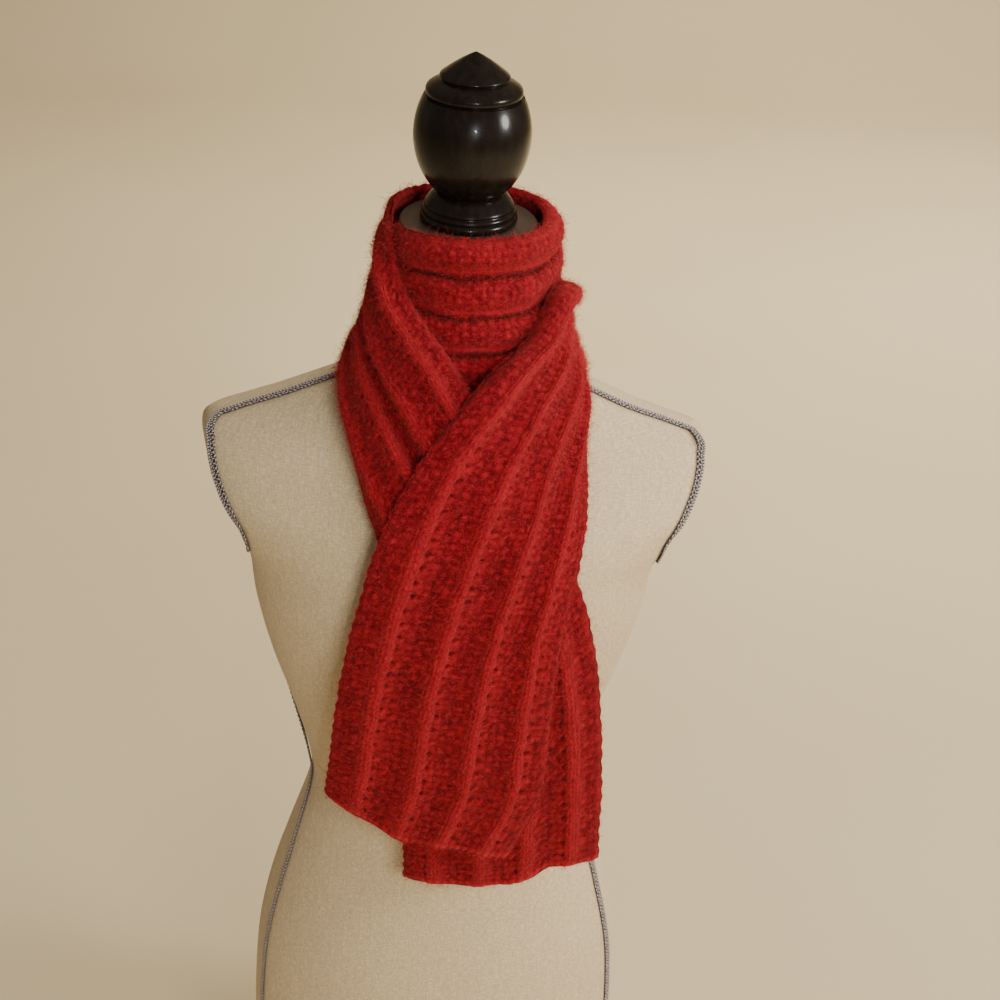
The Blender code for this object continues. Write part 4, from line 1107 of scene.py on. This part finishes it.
def build_fibres(name, rng, outer, normals):
    """Loose wool fibres that stand and lean off the outer face, each bent once."""
    across = np.linalg.norm(np.diff(outer, axis=1), axis=2).sum(1).mean()
    along = np.linalg.norm(np.diff(outer, axis=0), axis=2).sum(0).mean()
    count = int(FIBRES_PER_M2 * across * along)
    row = rng.integers(0, outer.shape[0], count)
    column = rng.integers(0, outer.shape[1], count)
    normal = normals[row, column]
    lean = rng.normal(0, 1, (count, 3))
    lean = unit(lean - normal * (lean * normal).sum(1, keepdims=True))
    rise = rng.uniform(0.1, 1.0, (count, 1))
    length = FIBRE_LENGTH + rng.gamma(*FIBRE_LENGTHS, (count, 1))
    length *= np.where(rng.uniform(0, 1, (count, 1)) < LONG_FIBRES[0], LONG_FIBRES[1], 1.0)
    root = outer[row, column] + rng.normal(0, FIBRE_SPREAD, (count, 3)) - normal * FIBRE_DEPTH
    first = unit(normal * rise + lean * (1.1 - 0.6 * rise))
    second = unit(normal * (rise * 0.2) + lean + rng.normal(0, 0.35, (count, 3)))
    middle = root + first * length * 0.5
    side = unit(np.cross(first, rng.normal(0, 1, (count, 3)))) * FIBRE_WIDTH / 2
    points = np.stack([root, middle - side, middle + side, middle + second * length * 0.5], 1)
    base = (np.arange(count) * 4)[:, None]
    faces = np.concatenate([base + np.array([[0, 1, 2]]), base + np.array([[2, 1, 3]])])
    return add_object(name, points.reshape(-1, 3), faces.tolist(), fibre_finish())


def tube_bulge(stitches, spans, rows):
    """Extra thickness where the near edge doubles over into a soft tube on the right shoulder, and
    how flat the pleats lie in each row round it."""
    from_seam = np.arange(rows) - spans["tail_over"][1]
    along = smooth_step(1.6 - 1.6 * abs(from_seam + TUBE_AHEAD) / TUBE_ROWS)
    across = np.sqrt(1 - np.clip(2 * stitches / TUBE_STITCHES - 1, -1, 1) ** 2)
    calm = smooth_step((CALM_ROWS - abs(from_seam - CALM_PAST)) / CALM_FADE)
    return TUBE_BULGE * along[:, None] * across[None, :], calm[:, None]


def build_scarf():
    rng = np.random.default_rng(SEED)
    places = columns_across()
    lift, spans = settled_lift(places)
    fine_places, stitches = stitch_columns()
    lengths = {name: stretch_length(table) for name, table in stretch_tables().items()}
    counts = {name: ROW_SAMPLES * round(length / ROW_PITCH) + 1 for name, length in lengths.items()}
    base, outward, relief, fine_spans, tiers = whole_sheet(fine_places, counts)
    inner = base + outward * finer(lift, spans, places, fine_places, fine_spans, len(base))[:, :, None]
    facing = grid_normals(inner)
    rows = np.arange(len(base)) / ROW_SAMPLES
    relief *= smooth_step(0.25 + np.minimum(rows, rows[-1] - rows) / 4)[:, None]
    tube, calm = tube_bulge(stitches, fine_spans, len(base))
    relief = relief * (1 - calm) + tube
    # The second value is the knit's colour with painted shade in the hollows and painted highlight on the
    # tops and ribs.
    knit, tone_and_painted_shade = knit_relief(rng, stitches, rows, tiers)
    sideways = unit(np.gradient(inner, axis=1))
    scallop = SCALLOP * (abs(np.sin(math.pi * rows / 2)) - 0.5 + 0.4 * wandering(rng, len(rows), 1)[:, 0])
    toward = np.exp(-stitches / SCALLOP_REACH) - np.exp(-(STITCHES - stitches) / SCALLOP_REACH)
    inner = inner - sideways * (scallop[:, None] * toward[None, :])[:, :, None]
    near = inner[:, 0]
    raised = RIM_RISE * smooth_step((near[:, 1] - RIM_BEHIND[0]) / RIM_BEHIND[1])
    raised *= smooth_step((near[:, 2] - PLATE_Z) / 0.004)
    inner[:, :, 2] += raised[:, None] * np.exp(-stitches / RIM_FADE)
    outer_off, inner_off = rolled(inner, WALL * rounded_edge(stitches) + relief)
    outer = inner + facing * outer_off[:, :, None]
    outer = outer + grid_normals(outer) * knit[:, :, None]
    inside = inner + facing * inner_off[:, :, None]
    hollow = np.clip(PURL_RELIEF - STITCH_SINK - np.roll(knit, ROW_SAMPLES, axis=0), 0, 0.0014)
    hollow *= np.clip(-inner_off / 0.003, 0, 1)
    inside = inside + grid_normals(inside) * hollow[:, :, None]
    # Both faces carry that painted shade; the inner face's is shifted by one row and lifted.
    outer_face = (outer, grid_normals(outer), tone_and_painted_shade)
    inner_face = (inside, -grid_normals(inside), 0.15 + 0.85 * np.roll(tone_and_painted_shade, ROW_SAMPLES, axis=0))
    finish = knit_finish()
    for name, (first, last) in fine_spans.items():
        part = slice(first, last + 1)
        faces_of = [tuple(grid[part] for grid in face) for face in (outer_face, inner_face)]
        picks = (picked(last + 1 - first, FINE_ROWS[name]), picked(len(stitches), INNER_FINE))
        piece = stretch_mesh("scarf_" + name, faces_of, picks, finish)
        place_piece(piece, "knit", name)
        fibres = build_fibres("fibres_" + name, rng, outer[part], outer_face[1][part])
        place_piece(fibres, "knit")


# The room


def build_floor():
    size, back, rise = 9.0, 4.0, 1.2
    rows = [(-size, 0.0), (0.0, 0.0), (back, 0.0)]
    for step in range(1, 13):
        turn = math.radians(90 * step / 12)
        rows.append((back + rise * math.sin(turn), rise * (1 - math.cos(turn))))
    rows.append((back + rise, 6.0))
    points = [(x, y, z - 0.0004) for y, z in rows for x in (-size, size)]
    faces = [(2 * row, 2 * row + 1, 2 * row + 3, 2 * row + 2) for row in range(len(rows) - 1)]
    add_object("floor", points, faces, floor_finish(), 60)


def light_room():
    world = bpy.data.worlds.new("room")
    world.use_nodes = True
    sky = world.node_tree.nodes["Background"]
    sky.inputs["Color"].default_value, sky.inputs["Strength"].default_value = SKY
    bpy.context.scene.world = world
    for name, place, target, size, power, colour, mirrored in LIGHTS:
        lamp = bpy.data.lights.new(name, "AREA")
        lamp.shape = "DISK"
        lamp.size = size
        lamp.energy = power
        lamp.color = colour
        holder = link(name, lamp)
        holder.location = place
        holder.visible_camera = False
        holder.visible_glossy = mirrored
        holder.rotation_euler = (Vector(target) - Vector(place)).to_track_quat("-Z", "Y").to_euler()


def place_camera():
    turn = Matrix.Rotation(math.radians(SCARF_TURN), 4, "Z")
    camera = bpy.data.cameras.new("camera")
    camera.lens = CAMERA_LENS
    camera.sensor_width = CAMERA_SENSOR
    holder = link("camera", camera)
    tilt = Matrix.Rotation(math.radians(90 - CAMERA_PITCH), 4, "X")
    roll = Matrix.Rotation(math.radians(CAMERA_ROLL), 4, "Z")
    place = turn @ (Vector(CAMERA_PLACE) + Vector((0.0, 0.0, PLATE_Z)))
    holder.matrix_world = Matrix.Translation(place) @ turn @ tilt @ roll
    bpy.context.scene.camera = holder


def main():
    build_hard_pieces()
    build_form()
    for side in SIDE:
        build_braid(side)
    build_scarf()
    build_floor()
    light_room()
    place_camera()


main()
